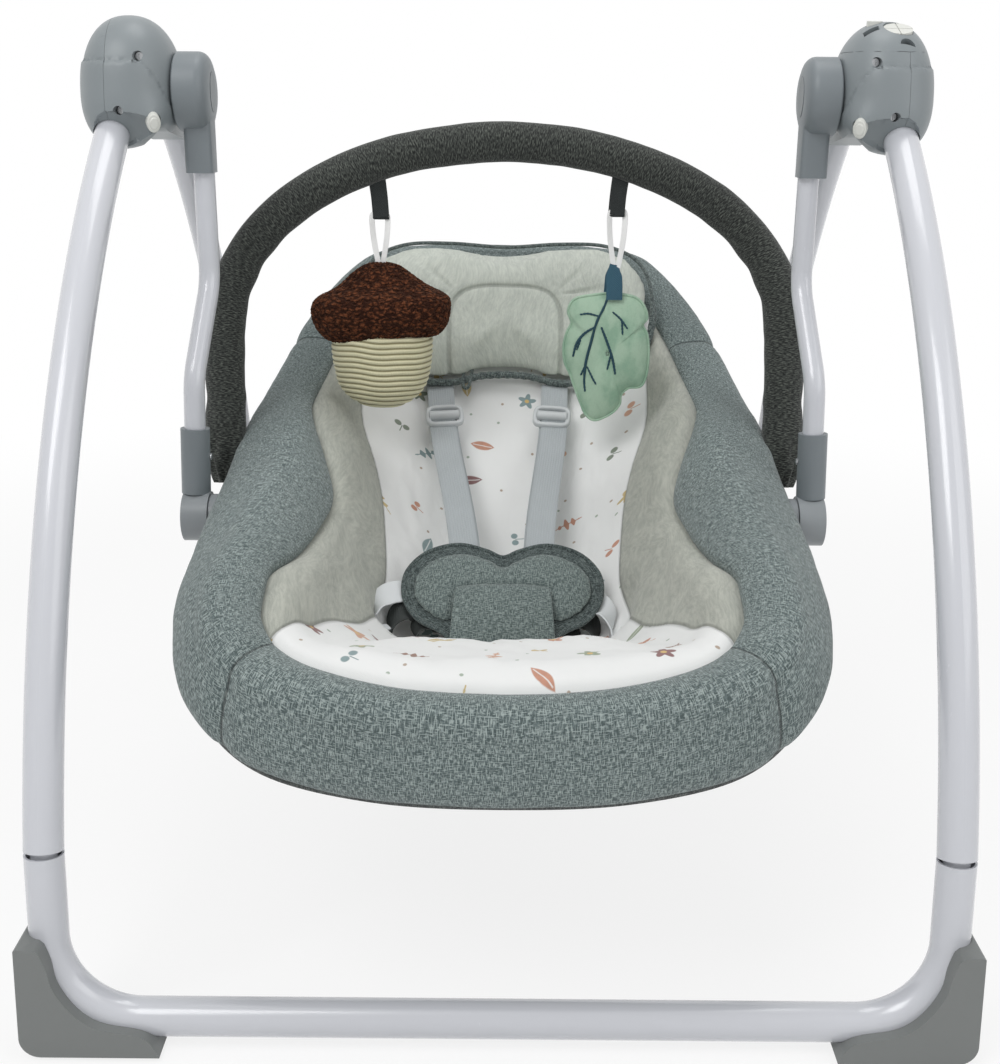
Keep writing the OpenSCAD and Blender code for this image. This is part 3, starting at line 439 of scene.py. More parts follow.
def plush(f, colour, dark):
    """Short pile: fine streaks that follow swirls of brushing, over faint larger patches and single tufts, with painted
    shade between the tufts where the streaks and swirls lie low. Returns (colour, height)."""
    p = f.at
    q = p.vector("ADD", p.noise(11.0, 2.0, out=1).scaled(0.05))
    streak = q.mapped(scale=(1.0, 0.22, 0.3), turn=(0.2, 0, 0.6)).noise(620.0, 3.0, 0.6)
    swirl = q.mapped(scale=(1.0, 0.3, 0.4), turn=(0.5, 0.2, -0.5)).noise(170.0, 3.0, 0.6)
    broad = p.noise(16.0, 2.0, 0.5)
    pile = p.noise(1500.0, 2.0, 0.6)
    # painted shade: tone falls towards dark where streak and swirl, which also lower the bump, are low; broad adds
    # random patches
    tone = streak.step(0.34, 0.66) * 0.5 + swirl.step(0.36, 0.66) * 0.35 + broad * 0.25
    return multiply(tone.blend(dark, colour), pile * 0.12 + 0.94), swirl * 1.1 + streak * 0.9 + pile * 0.5


MOTIF_PITCH, DOT_PITCH = 0.047, 0.021
MOTIF_INKS = [
    (134, 92, 70), (190, 128, 98), (140, 152, 124), (196, 172, 112),
    (122, 70, 68), (118, 142, 144), (202, 152, 124), (112, 124, 106),
]


def print_motifs(f, x, y, ground):
    """Small scattered motifs on white cloth: berries, rounded leaves, sprigs and stars, each in its own cell of a
    jittered lattice turned at an angle, coloured in turn with brown, rust, sage, mustard, dark red and teal."""

    def scatter(vector, randomness, out):
        """An output of the jittered lattice: the cell's random colour, its point, or the distance to it."""
        settings = {"feature": "F1", "voronoi_dimensions": "2D"}
        return vector.node("TexVoronoi", settings, {"Vector": vector, "Scale": 1.0, "Randomness": randomness}, out)

    base = f.s.node("CombineXYZ", {}, {0: x, 1: y, 2: 0.0})
    grid = base.mapped(scale=(1 / MOTIF_PITCH, 1 / MOTIF_PITCH, 1), turn=(0, 0, 0.42))
    rnd = scatter(grid, 0.62, "Color")
    local = grid.vector("SUBTRACT", scatter(grid, 0.62, "Position"))
    r1, r2, r3 = rnd.part(0), rnd.part(1), rnd.part(2)
    turned = local.node("VectorRotate", {"rotation_type": "Z_AXIS"}, {"Vector": local, "Angle": r3 * 6.28})
    a, b = turned.part(0), turned.part(1)
    # lengths in the cell are shares of the pitch
    rad = (a * a + b * b) ** 0.5
    ang = b.math("ARCTAN2", a)
    # rounded leaf: lens |a| < w (1 - (b/l)^2) with a pale midrib
    lens = (a.abs() - (1 - (b / 0.235) * (b / 0.235)) * 0.095).step(0.012, -0.012)
    rib = a.abs().step(0.014, 0.006) * b.abs().step(0.2, 0.18)
    leaf = lens * (1 - rib * 0.75)
    # sprig: a thin stem with five small oval leaves in pairs
    wave_b = (b * (2 * np.pi / 0.13)).sin()
    side = (a.abs() - (wave_b * 0.5 + 0.5) * (0.24 - b.abs()) * 0.62).step(0.01, -0.012) * b.abs().step(0.23, 0.21)
    stem = a.abs().step(0.014, 0.005) * b.abs().step(0.26, 0.25)
    sprig = side.math("MAXIMUM", stem)
    # flower with five petals and berries
    petal = (rad - ((ang * 5).sin() * 0.045 + 0.135)).step(0.012, -0.012)
    eye = rad.step(0.05, 0.035)
    berry = ((a.abs() - 0.075) ** 2 + (b + 0.02) ** 2) ** 0.5
    stalk = a.abs().step(0.012, 0.004) * b.step(-0.02, 0.0) * b.step(0.16, 0.14)
    berries = (berry - 0.06).step(0.01, -0.01).math("MAXIMUM", stalk)
    k1, k2, k3 = r1.step(0.26, 0.262), r1.step(0.52, 0.522), r1.step(0.76, 0.762)
    mask = leaf * (1 - k1) + sprig * (k1 - k2) + petal * (k2 - k3) + berries * k3
    stops = [(k / len(MOTIF_INKS), srgb(*ink)) for k, ink in enumerate(MOTIF_INKS)]
    ink = r2.node("ValToRGB", {"stops": stops}, {0: r2})
    ink.link.node.color_ramp.interpolation = "CONSTANT"
    ink = multiply(ink, turned.noise(9.0, 2.0) * 0.5 + 0.78)
    ink = (petal * (k2 - k3) * eye).blend(ink, srgb(214, 178, 96))
    # small loose dots and dashes between them
    fine = base.mapped(scale=(1 / DOT_PITCH, 1 / DOT_PITCH, 1), turn=(0, 0, 1.1), shift=(0.3, 0.7, 0))
    fr = scatter(fine, 0.9, "Color")
    dot = scatter(fine, 0.9, "Distance").step(0.075, 0.045) * fr.part(0).step(0.62, 0.63) * rad.step(0.27, 0.3)
    c = (mask * 0.88).blend(ground, ink)
    return (dot * 0.75).blend(c, fr.part(1).step(0.5, 0.51).blend(srgb(160, 132, 104), srgb(140, 158, 136)))


def liner_finish(cotton_white, pile, pile_shade):
    """Grey plush sides and white printed cotton in the middle, split where the attribute white changes sign."""
    f = Finish("liner_cloth")
    white = f.attribute("white")
    p = f.at
    plush_c, plush_h = plush(f, pile, pile_shade)
    x, y = f.attribute("px") * MM, f.attribute("py") * MM
    weave = (f.uv().part(0) * (2 * np.pi / 0.0009)).sin() * (f.uv().part(1) * (2 * np.pi / 0.0009)).sin()
    ground = multiply(cotton_white, p.noise(14.0, 3.0) * 0.06 + 0.97)
    cotton = print_motifs(f, x, y, ground)
    on = white.step(-0.35, 0.35)
    seam = white.abs().step(2.2, 0.4)
    # painted shade: the colour is 30% darker in the dip along the seam where the plush meets the cotton
    c = multiply(on.blend(plush_c, cotton), 1 - seam * 0.3)
    creases = p.mapped(scale=(1.0, 0.5, 0.8)).noise(42.0, 4.0, 0.6)
    h = on * (weave * 0.12 + creases * 1.5) + (1 - on) * plush_h * 1.15 - seam * 1.5
    return f.make(c, on * -0.12 + 0.96, f.bump(h, 0.5, 0.0012), **nap(0.22, 0.2, 0.45))


def plush_finish(pile, pile_shade):
    """The pillow's plush, darker in the arch seam's dip by painted shade."""
    f = Finish("pillow_plush")
    c, h = plush(f, pile, pile_shade)
    seam = f.attribute("seam").abs().step(3.0, 0.6)
    normal = f.bump(h * 0.9 - seam * 1.6, 0.5, 0.0012)
    # painted shade: 28% darker along the arch seam's dip
    return f.make(multiply(c, 1 - seam * 0.28), 0.95, normal, **nap(0.22, 0.3, 0.45))


def moulded(name, colour, rough=0.42, grain=0.3, scale=1500.0, **more):
    """Moulded plastic: fine spark-eroded grain, faint flow mottling and small changes of gloss."""
    f = Finish(name)
    p = f.at
    mottle = p.noise(26.0, 3.0, 0.6)
    grit = p.noise(scale, 2.0, 0.7)
    c = multiply(colour, mottle * 0.05 + 0.975 + (grit - 0.5) * 0.05)
    r = (p.noise(90.0, 3.0) - 0.5) * 0.09 + rough
    return f.make(c, r, f.bump(grit * grain + mottle * 0.1, 0.25, 0.0003), **more)


def enamel_finish(colour):
    """Glossy baked enamel on steel tube: clear coat over a faint orange-peel."""
    f = Finish("leg_enamel")
    p = f.at
    peel = p.noise(420.0, 2.0, 0.5)
    scuff = p.mapped(scale=(1, 1, 0.2)).noise(160.0, 4.0, 0.7).step(0.66, 0.75)
    c = multiply(colour, p.noise(7.0, 2.0) * 0.04 + 0.98)
    coat = {"Coat_Weight": 0.6, "Coat_Roughness": 0.14, "Specular_IOR_Level": 0.55}
    return f.make(c, scuff * 0.05 + 0.24, f.bump(peel, 0.03, 0.0002), **coat)


def webbing_finish(colour):
    """Woven strap: lengthwise ribs crossed by fine picks, with a tighter plain edge."""
    f = Finish("webbing")
    u, v = f.attribute("run") * MM, f.attribute("across") * MM
    ribs = (v * (2 * np.pi / 0.0021)).sin()
    picks = (u * (2 * np.pi / 0.0013)).sin()
    chev = ((u + (v * (2 * np.pi / 0.008)).sin() * 0.0012) * (2 * np.pi / 0.0026)).sin()
    edge = v.abs().step(0.0088, 0.0098)
    h = ribs * 0.5 * (1 - edge) + picks * 0.3 + chev * 0.3 * (1 - edge)
    # painted shade: h * 0.055 lightens the colour on the ribs and picks and darkens it between them, following the bump
    tone = f.at.noise(60.0, 3.0) * 0.1 + 0.95 + h * 0.055 - edge * 0.06
    return f.make(multiply(colour, tone), 0.72, f.bump(h, 0.5, 0.0004), **nap(0.35, 0.15, 0.5))


def teddy_finish(hollow, curl_top):
    """Curly teddy pile: two sizes of rounded curls, dark painted shade in the hollows between and a painted highlight
    on top.
    """
    f = Finish("teddy")
    p = f.at.vector("ADD", f.at.noise(130.0, 2.0, out=1).scaled(0.007))
    lying = p.mapped(scale=(0.62, 1.0, 1.25), turn=(0, 0.5, 0))
    big = lying.cells(300.0)
    small = lying.cells(700.0)
    fibre = lying.noise(1200.0, 3.0, 0.7)
    curl = 1 - big * 1.15 - small * 0.3
    # painted shade: the colour falls from curl_top to the hollow colour where the curls are low
    c = curl.step(0.1, 0.8).blend(hollow, curl_top)
    # painted highlight: paler fibres only on the curl tops
    c = (fibre.step(0.56, 0.7) * curl.step(0.3, 0.8) * 0.5).blend(c, srgb(176, 118, 84))
    c = multiply(c, fibre * 0.5 + 0.74)
    normal = f.bump(curl * 1.6 + fibre * 0.3, 0.9, 0.0026)
    return f.make(c, 0.95, normal, Sheen_Tint=srgb(168, 120, 90), **nap(0.2, 0.25, 0.4))


def corduroy_finish(hollow, ridge):
    """Corduroy: the wales are in the shape; painted shade makes the pile darker in the hollows, read from the attribute
    wale.
    """
    f = Finish("corduroy")
    w = f.attribute("wale")
    p = f.at
    tuft = p.mapped(scale=(1, 1, 0.35)).noise(900.0, 2.0, 0.65)
    # painted shade: the hollow colour where the wale attribute is low, in the grooves
    c = w.step(-0.9, 0.35).blend(hollow, ridge)
    c = multiply(c, p.noise(24.0, 3.0) * 0.14 + 0.87 + tuft * 0.12)
    return f.make(c, 0.94, f.bump(tuft + w * 0.5, 0.45, 0.0009), **nap(0.2, 0.25, 0.45))


def leaf_finish(dark, light):
    """Soft green velour, patchy between two tones, the darker being painted shade where the pile's bump is low."""
    f = Finish("leaf_cotton")
    p = f.at
    tuft = p.noise(650.0, 2.0, 0.65)
    patch = p.mapped(scale=(1, 1, 0.6)).noise(60.0, 4.0, 0.6).step(0.35, 0.65)
    # painted shade: dark where the patch noise, which also lowers the bump, is low
    c = multiply(patch.blend(dark, light), tuft * 0.14 + 0.93)
    return f.make(c, 0.9, f.bump(tuft * 0.6 + patch * 0.5, 0.5, 0.0009), **nap(0.22, 0.3, 0.4))


def herringbone_finish(name, colour):
    """Herringbone tape or thread for the leaf's stem and veins and the dark loops."""
    f = Finish(name)
    u, v = f.attribute("run") * MM, f.attribute("across") * MM
    h = ((u + v.abs()) * (2 * np.pi / 0.0019)).sin()
    # painted shade: the colour rises and falls with the twill's height h, darker in its dips, as the bump does
    c = multiply(colour, h * 0.1 + 0.95 + (f.at.noise(90.0, 2.0) - 0.5) * 0.2)
    return f.make(c, 0.8, f.bump(h, 0.4, 0.0004), Specular_IOR_Level=0.3)


def steel_finish():
    """Turned steel of screws and pins."""
    f = Finish("steel")
    marks = f.at.noise(900.0, 2.0)
    return f.make(srgb(176, 178, 180), marks * 0.12 + 0.24, f.bump(marks, 0.1, 0.0002), Metallic=1.0)


def window_finish():
    """Glossy dark plastic of the indicator windows."""
    f = Finish("window_plastic")
    n = f.at.noise(300.0, 2.0)
    c = multiply(srgb(58, 61, 64), n * 0.2 + 0.9)
    return f.make(c, n * 0.05 + 0.08, Coat_Weight=0.8, Coat_Roughness=0.05, Specular_IOR_Level=0.6)


# ---------- padded forms and cloth ----------


def pad_grid(outline, top, under, rows):
    """Closed pad over a star-shaped outline (m, 2): rows run from the middle of the top to the edge and back under to
    the middle. top(x, y, k) and under(x, y, k) give heights at share k of the way out; k runs as sin so that rows crowd
    at the edge."""
    outline = np.asarray(outline, float)
    mid = outline.mean(0)
    a = np.linspace(0.02, 1, rows)
    k = np.sin(a * np.pi / 2)[:, None]
    x = mid[0] + (outline[:, 0] - mid[0]) * k
    y = mid[1] + (outline[:, 1] - mid[1]) * k
    up = np.stack([x, y, top(x, y, k)], -1)
    down = np.stack([x, y, under(x, y, k)], -1)[:-1][::-1]
    return np.concatenate([up, down])


def dome(k, power=2.4, root=0.55):
    """Padded profile (1 - k^power)^root: full in the middle and steep at the edge."""
    return np.clip(1 - np.clip(k, 0, 1) ** power, 0, 1) ** root


CLOTH_FRAMES = 20


def swell(o, voxel, pressure, cap):
    """Pads the piece with Blender's cloth: voxel remesh, pressure with gravity off, 20 frames, no point moving
    further than cap millimetres, then one subdivision."""
    scene = bpy.context.scene
    bpy.context.view_layer.objects.active = o
    o.select_set(True)
    o.data.remesh_voxel_size = voxel * MM
    o.data.use_remesh_fix_poles = False
    bpy.ops.object.voxel_remesh()
    start = np.zeros(len(o.data.vertices) * 3)
    o.data.vertices.foreach_get("co", start)
    start = start.reshape(-1, 3)
    cloth = o.modifiers.new("cloth", "CLOTH")
    cloth.settings.use_pressure = True
    cloth.settings.uniform_pressure_force = pressure
    cloth.settings.tension_stiffness = cloth.settings.compression_stiffness = 15
    cloth.settings.bending_stiffness = 0.4
    cloth.settings.effector_weights.gravity = 0
    cloth.point_cache.frame_start, cloth.point_cache.frame_end = 1, CLOTH_FRAMES
    for frame_no in range(1, CLOTH_FRAMES + 1):
        scene.frame_set(frame_no)
    dg = bpy.context.evaluated_depsgraph_get()
    ev = o.evaluated_get(dg)
    co = np.zeros(len(ev.data.vertices) * 3)
    ev.data.vertices.foreach_get("co", co)
    o.modifiers.remove(cloth)
    step = co.reshape(-1, 3) - start
    size = np.linalg.norm(step, axis=1, keepdims=True)
    start = start + step * np.minimum(1, cap * MM / np.maximum(size, 1e-9))
    o.data.vertices.foreach_set("co", start.astype(np.float32).ravel())
    scene.frame_set(1)
    sub = o.modifiers.new("round", "SUBSURF")
    sub.levels = sub.render_levels = 1
    bpy.ops.object.modifier_apply(modifier="round")
    o.data.polygons.foreach_set("use_smooth", np.ones(len(o.data.polygons), bool))
    o.select_set(False)


def points_of(o):
    """A mesh's points in millimetres."""
    co = np.zeros(len(o.data.vertices) * 3)
    o.data.vertices.foreach_get("co", co)
    return co.reshape(-1, 3) / MM


def place_points(o, points):
    """Gives a mesh its points in millimetres."""
    o.data.vertices.foreach_set("co", (points * MM).astype(np.float32).ravel())
    o.data.update()


def press(o, depth):
    """Moves every point inward along its normal by depth millimetres (one value a point)."""
    n = np.zeros(len(o.data.vertices) * 3)
    o.data.vertex_normals.foreach_get("vector", n)
    place_points(o, points_of(o) - n.reshape(-1, 3) * np.asarray(depth)[:, None])


def tag(o, name, values):
    """Writes a point attribute that a finish reads."""
    at = o.data.attributes.get(name) or o.data.attributes.new(name, "FLOAT", "POINT")
    at.data.foreach_set("value", np.broadcast_to(np.asarray(values, np.float32), (len(o.data.vertices),)).copy())


def unwrap(o, frame_at=None):
    """UVs in metres for a remeshed piece: across and up its own frame, or the two axes nearest each face's plane."""
    me = o.data
    co = points_of(o) * MM
    loops = np.zeros(len(me.loops), np.int32)
    me.loops.foreach_get("vertex_index", loops)
    n = np.zeros(len(me.polygons) * 3)
    me.polygons.foreach_get("normal", n)
    counts = np.zeros(len(me.polygons), np.int32)
    me.polygons.foreach_get("loop_total", counts)
    ax = np.repeat(np.abs(n.reshape(-1, 3)).argmax(1), counts)
    p = co[loops]
    pick = np.array([[1, 2], [0, 2], [0, 1]])[ax]
    uv = np.take_along_axis(p, pick, 1)
    if frame_at is not None:
        uv = back(points_of(o), frame_at)[loops, :2] * MM
    layer = me.uv_layers.get("UVMap") or me.uv_layers.new(name="UVMap")
    layer.data.foreach_set("uv", uv.astype(np.float32).ravel())


def line_distance(p, line):
    """Least distance from points (n, 2) to an open line of points (m, 2)."""
    a, b = line[:-1][None], line[1:][None]
    d = b - a
    t = np.clip(((p[:, None] - a) * d).sum(-1) / (d * d).sum(-1), 0, 1)
    return np.linalg.norm(p[:, None] - a - d * t[..., None], axis=-1).min(1)


def into(p, frame_at):
    """Points in a local frame (origin, 3x3 with axes as rows) carried out to the seat."""
    o, r = frame_at
    return np.asarray(p, float) @ r + o


def back(p, frame_at):
    """The reverse of into()."""
    o, r = frame_at
    return (np.asarray(p, float) - o) @ r.T


def tilted(origin, tilt):
    """Local frame turned about X by tilt degrees: its third axis is the face's outward direction."""
    a = np.radians(tilt)
    return np.array(origin, float), np.array([[1, 0, 0], [0, np.cos(a), np.sin(a)], [0, -np.sin(a), np.cos(a)]])


def cord_tube(path, r, ref, closed=False, twist=0.0, depth=0.0, n=12):
    """Two-ply cord along a path: a tube of radius r + depth cos(2a + twist s)."""
    path = np.asarray(path, float)
    a = circle(n)[None]
    rad = np.asarray(r, float).reshape(-1, 1) + depth * np.cos(2 * a + twist * run_along(path)[:, None])
    return sweep(path, np.stack([rad * np.cos(a), rad * np.sin(a)], -1), ref, closed)


def tape(path, width, thick, ref, n=18):
    """Flat strap along a path: a rounded rectangle section whose thin side points along ref. Returns the grid and the
    attributes run and across."""
    path = np.asarray(path, float)
    sec = ring_section(thick / 2, width / 2, n, 6.0)
    g = sweep(path, sec, ref)
    return g, {
        "run": np.broadcast_to(run_along(path)[:, None], g.shape[:2]),
        "across": np.broadcast_to(sec[:, 1][None], g.shape[:2]),
    }


PLAIN = {"seam": 99.0, "run": 0.0}  # attributes of a piece with no seam of its own

# ---------- the seat's form ----------

SEAT_HALF_W = 217.0
# Half outline of the padded rim from head to front: share of half width, y, z, tilt in degrees
RIM_HALF = [
    (0, 300, 440, -44), (0.38, 298, 439, -43), (0.61, 283, 430, -38), (0.755, 250, 405, -26),
    (0.868, 200, 370, -12), (0.942, 120, 331, 0), (0.988, 40, 308, 9), (1, -50, 284, 15),
    (1, -150, 258, 26), (0.97, -220, 236, 42), (0.88, -274, 212, 58), (0.69, -309, 192, 70),
    (0.37, -327, 182, 78), (0, -332, 180, 80),
]
# Height of the seat's middle, y and z from the front to the head
MID_PROFILE = [
    (-345, 246), (-270, 238), (-200, 212), (-130, 178), (-60, 165), (0, 186), (60, 219),
    (100, 250), (200, 332), (300, 436),
]
SEAT_CENTRE = np.array([0.0, -50.0])
RING_W, RING_T = 35.0, 14.0
SEAT_N = 288


def seat_rim():
    """The rim's points, its inward level direction, and the long and short axes of the ring's section there."""
    half = np.array(RIM_HALF, float)
    half[:, 0] *= SEAT_HALF_W
    full = np.vstack([half, half[-2:0:-1] * [-1, 1, 1, 1]])
    r = spline(full, SEAT_N, closed=True)
    p = r[:, :3]
    t = unit((np.roll(p, -1, 0) - np.roll(p, 1, 0)) * [1, 1, 0])
    inward = np.stack([t[:, 1], -t[:, 0], 0 * t[:, 0]], 1)
    tilt = np.radians(r[:, 3])[:, None]
    up = np.array([0, 0, 1.0])
    return p, inward, inward * np.cos(tilt) + up * np.sin(tilt), -inward * np.sin(tilt) + up * np.cos(tilt), tilt


def seat_bowl(t):
    """Bowl points at shares t of the way from the ring's inner edge to the centre: plan point by straight line,
    height from the middle's profile plus the edge's difference from it times t^2.6."""
    p, inward, u, _, tilt = seat_rim()
    e = p + u * 2 * RING_W + inward * (1 + RING_T * np.maximum(0, np.sin(tilt)))
    t = np.asarray(t, float)[None, :, None]
    mid = spline(MID_PROFILE, 80)
    k = 1 - t
    xy = SEAT_CENTRE * (1 - k) + e[:, None, :2] * k
    z = lookup(mid, xy[..., 1]) + (e[:, 2] - lookup(mid, e[:, 1]))[:, None] * k[..., 0] ** 2.6
    return np.concatenate([xy, z[..., None]], -1)


def seat_lines():
    """Section lines of the seat's upper skin from the rim over the ring's crown to the centre, as points (n, k, 3),
    and the distance along each line."""
    p, _, u, v, _ = seat_rim()
    ring = [p, p + u * 8 + v * 11, p + u * 22 + v * 14.5, p + u * 40 + v * 15.5, p + u * 56 + v * 12.5]
    bowl = seat_bowl([0.05, 0.14, 0.26, 0.4, 0.55, 0.7, 0.85, 1.0])
    ctrl = np.concatenate([np.stack(ring, 1), bowl], 1)
    line = spline(ctrl.transpose(1, 0, 2), 221).transpose(1, 0, 2)
    s = np.concatenate([np.zeros((SEAT_N, 1)), np.cumsum(np.linalg.norm(np.diff(line, axis=1), axis=2), 1)], 1)
    return line, s


def along_lines(line, s, d):
    """Points at distances d (n, k) along the section lines."""
    i = np.clip((s[:, None, :] <= d[:, :, None]).sum(2) - 1, 0, s.shape[1] - 2)
    rows = np.arange(len(s))[:, None]
    f = (d - s[rows, i]) / np.maximum(s[rows, i + 1] - s[rows, i], 1e-9)
    return line[rows, i] + (line[rows, i + 1] - line[rows, i]) * f[..., None]


# Width of the melange face of the ring, from the rim inward, by share of the way round from head to front
FACE_W = [
    (0, 50), (0.1, 48), (0.165, 50), (0.2, 54), (0.225, 66), (0.245, 92), (0.262, 110), (0.285, 107),
    (0.31, 98), (0.335, 88), (0.36, 89), (0.41, 93), (0.46, 88), (0.5, 85),
]
# Half width of the white printed middle by distance from the front
WHITE_W = [
    (-300, 230), (-275, 158), (-255, 143), (-215, 128), (-160, 112), (-119, 102), (-59, 94), (41, 103),
    (129, 121), (200, 134), (300, 150),
]
# Cross seams of the ring, as shares of the way round on each side
SEAMS = (0.163, 0.412)
# Share of the way round from the head at each row, the same on both sides
SHARE = np.minimum(np.arange(SEAT_N) / SEAT_N, 1 - np.arange(SEAT_N) / SEAT_N)


def face_width():
    """Width of the melange face at each row."""
    return lookup(spline(FACE_W, 200), SHARE)


def seam_distance():
    """Signed distance in millimetres along the rim to the nearest of the ring's four cross seams, and the run along
    it."""
    p = seat_rim()[0]
    run = run_along(p)
    total = run[-1] + np.linalg.norm(p[0] - p[-1])
    at = np.interp([a for s in SEAMS for a in (s * SEAT_N, (1 - s) * SEAT_N)], np.arange(SEAT_N), run)
    d = (run[:, None] - at[None] + total / 2) % total - total / 2
    return d[np.arange(SEAT_N), np.abs(d).argmin(1)], run


def skin_normals(top):
    """Unit normals of the seat's skin, pointing up."""
    nor = normals_of(top, (True, False))
    return nor * np.sign(nor[..., 2:3].mean())


def shut(grid):
    """Brings the last column, at the seat's centre, together in one point."""
    grid[:, -1] = grid[:, -2].mean(0)
    return grid


FACE_N = 30  # points across the ring's face


def build_seat_ring(sizes, colours):
    """Padded ring: at each rim point a closed section that swells over the front face, tucks into the seam with the
    liner, runs back under the face and rounds the rim. The height over the skin is H(1-|2k-1|^2.8), with H the swell
    and 2.5 mm more at the sides and the front, and less at the cross seams."""
    line, s = seat_lines()
    w = face_width()[:, None]
    near, run = seam_distance()
    k = np.linspace(0, 1, FACE_N)[None]
    face = along_lines(line, s, w * k)
    rows = np.concatenate([face, along_lines(line, s, w * np.array([[1.06, 1.12]]))], 1)
    nor = normals_of(rows, (True, False))
    nor *= np.sign(nor[:, 10:11, 2:3] + 1e-9)
    nor = nor[:, :FACE_N]
    full = mm(sizes.ring_swell) + 2.5 * smooth_step(0.2, 0.3, SHARE)
    puff = full[:, None] * (1 - abs(2 * k - 1) ** 2.8)
    soft = wave(face, 75, 3) * 1.5 + wave(face, 26, 5) * 0.35
    pucker = np.sin(run[:, None] / 4.6 + 3 * k) * hump(near, 16)[:, None] * 0.35
    inside = np.sin(np.pi * np.clip(k, 0.02, 0.98)) ** 0.5
    puff = puff * (1 - 0.42 * hump(near, 6.5)[:, None]) + (soft + pucker) * inside
    front = face + nor * puff[..., None]
    front[:, -1] -= nor[:, -1] * 5
    hidden = along_lines(line, s, w * np.linspace(0.97, 0.1, 12)[None])
    under = hidden - nor[:, ::-1][:, np.linspace(0, 26, 12).astype(int)] * 19
    p, _, u, v, _ = seat_rim()
    low = 4.0 + 2.5 * smooth_step(0.22, 0.36, SHARE)[:, None]
    rim = [
        p - v * 17 + u * 6, p - v * 15.5 - u * low * 0.75, p - v * 10 - u * low, p - v * 4.5 - u * low * 0.9,
        p - v * 2.0 - u * low * 0.35,
    ]
    loop = np.concatenate([front, under, np.stack(rim, 1)], 1)
    size = loop.shape[:2]
    column = np.broadcast_to(np.arange(size[1]), size)
    seam = np.where(column < FACE_N, near[:, None], PLAIN["seam"])
    attributes = {"seam": seam, "run": np.broadcast_to(run[:, None], size)}
    shape = Shape().add(loop, (True, True), mat=(column >= FACE_N).astype(int), extra=attributes)
    melange = melange_finish("melange", rgba(colours.melange), rgba(colours.melange_dark), rgba(colours.melange_light))
    backing = charcoal_finish("charcoal_back", rgba(colours.charcoal))
    o = shape.make("padded_ring", "seat", "melange", [melange, backing], replaces=["seat_ring"])


def build_liner(sizes, colours):
    """Seat liner: plush sides and a white middle on the same skin lines as the ring, each panel swelling between its
    seams as H(1-exp(-d/k)), with folds across the hips, a roll in front of them and hollows that leave the acorn room
    to swing."""
    line, s = seat_lines()
    w, length = face_width()[:, None], s[:, -1:]
    k = np.linspace(0, 1, 76)[None] ** 1.12
    d = w * 0.985 + (length - w * 0.985) * k
    top = along_lines(line, s, d)
    nor = skin_normals(top)
    nor[:, -3:] = [0, 0.35, 0.94]
    x, y = top[..., 0], top[..., 1]
    white = lookup(spline(WHITE_W, 120), y) - abs(x)
    dm = d - w
    to_edge = np.minimum(dm, -white)
    side = 7.5 * (1 - np.exp(-np.minimum(dm, np.maximum(-white, 0)) / 13.0))
    mid = 4.0 * (1 - np.exp(-np.maximum(white, 0) / 22.0)) * (1 - np.exp(-np.maximum(dm, 0) / 16.0))
    folds = wave(top * [1.0, 0.55, 0.8], 62, 11) * 1.9 + wave(top, 24, 13) * 0.5
    sag = hump(y + 95, 60) * np.sin(x / 17 + 1.2 * np.sin(y / 40)) * 1.3 * smooth_step(5, 60, white)
    crumple = np.abs(wave(top * [1.0, 0.6, 0.6], 34, 17)) * -2.6 + wave(top, 15, 19) * 0.25
    mid = mid + folds * 0.85 * smooth_step(0, 25, white) + sag + crumple * smooth_step(2, 20, white)
    rise = np.where(white < 0, side + folds * 0.8 * smooth_step(0, 18, to_edge), mid)
    roll = 13.0 * hump(y + 192, 44) * smooth_step(125, 55, abs(x + 4)) * smooth_step(0, 22, dm)
    nick = hump(x + 11 + 0.1 * (y + 190), 8) * hump(y + 165, 40)
    roll = roll * (1 - 0.45 * nick) + 3.0 * hump(x - 62, 34) * hump(y + 185, 40)
    pit = 13.0 * hump(abs(x) - 84, 20) * hump(y + 68, 24)
    pit = pit + 12.0 * hump(abs(x) - 130, 30) * hump(y - 122, 38) * smooth_step(0, 9, dm)
    rise = rise - 6.0 * hump(dm, 5.0) + roll - pit
    skin = shut(top + nor * rise[..., None])
    shape = Shape().add(skin, (True, False), extra={"white": white, "px": x, "py": middle_run(y)})
    finish = liner_finish(rgba(colours.cotton), rgba(colours.plush), rgba(colours.plush_tuft_shade))
    o = shape.make("seat_liner_cloth", "seat", "plush_print", finish, replaces=["seat_liner"])
    lining = o.modifiers.new("lining", "SOLIDIFY")
    lining.thickness, lining.offset = mm(sizes.lining) * MM, -1.0


def middle_run(y):
    """Distance up the seat's middle, so that the print keeps its size where the back rises."""
    mid = spline(MID_PROFILE, 160)
    return np.interp(y, mid[:, 0], run_along(mid))


def build_under_bag(colours):
    """Dark under-bag: the skin lines moved out by 17 mm at its edge and 24 mm further in, closed above."""
    line, s = seat_lines()
    k = np.linspace(0, 1, 44)[None]
    top = along_lines(line, s, 40.0 + (s[:, -1:] - 40.0) * k)
    nor = skin_normals(top)
    nor[:, -4:] = [0, 0.3, 0.95]
    drop = 17.0 + 7.0 * np.sin(np.pi * k**0.8) + wave(top, 90, 21) * 1.6
    low = shut(top - nor * drop[..., None])
    inner = shut(top - nor * 12.4)
    shape = Shape().add(np.concatenate([inner[:, ::-1], low], 1), (True, False), extra=PLAIN)
    finish = charcoal_finish("charcoal_under", rgba(colours.charcoal))
    shape.make("seat_under_bag", "seat", "charcoal", finish, replaces=["seat_sling"])


# ---------- pillow and harness ----------
PILLOW_AT = tilted((0, 219, 391), 54)
PAD_AT = tilted((0, -64.2, 219.4), 34)


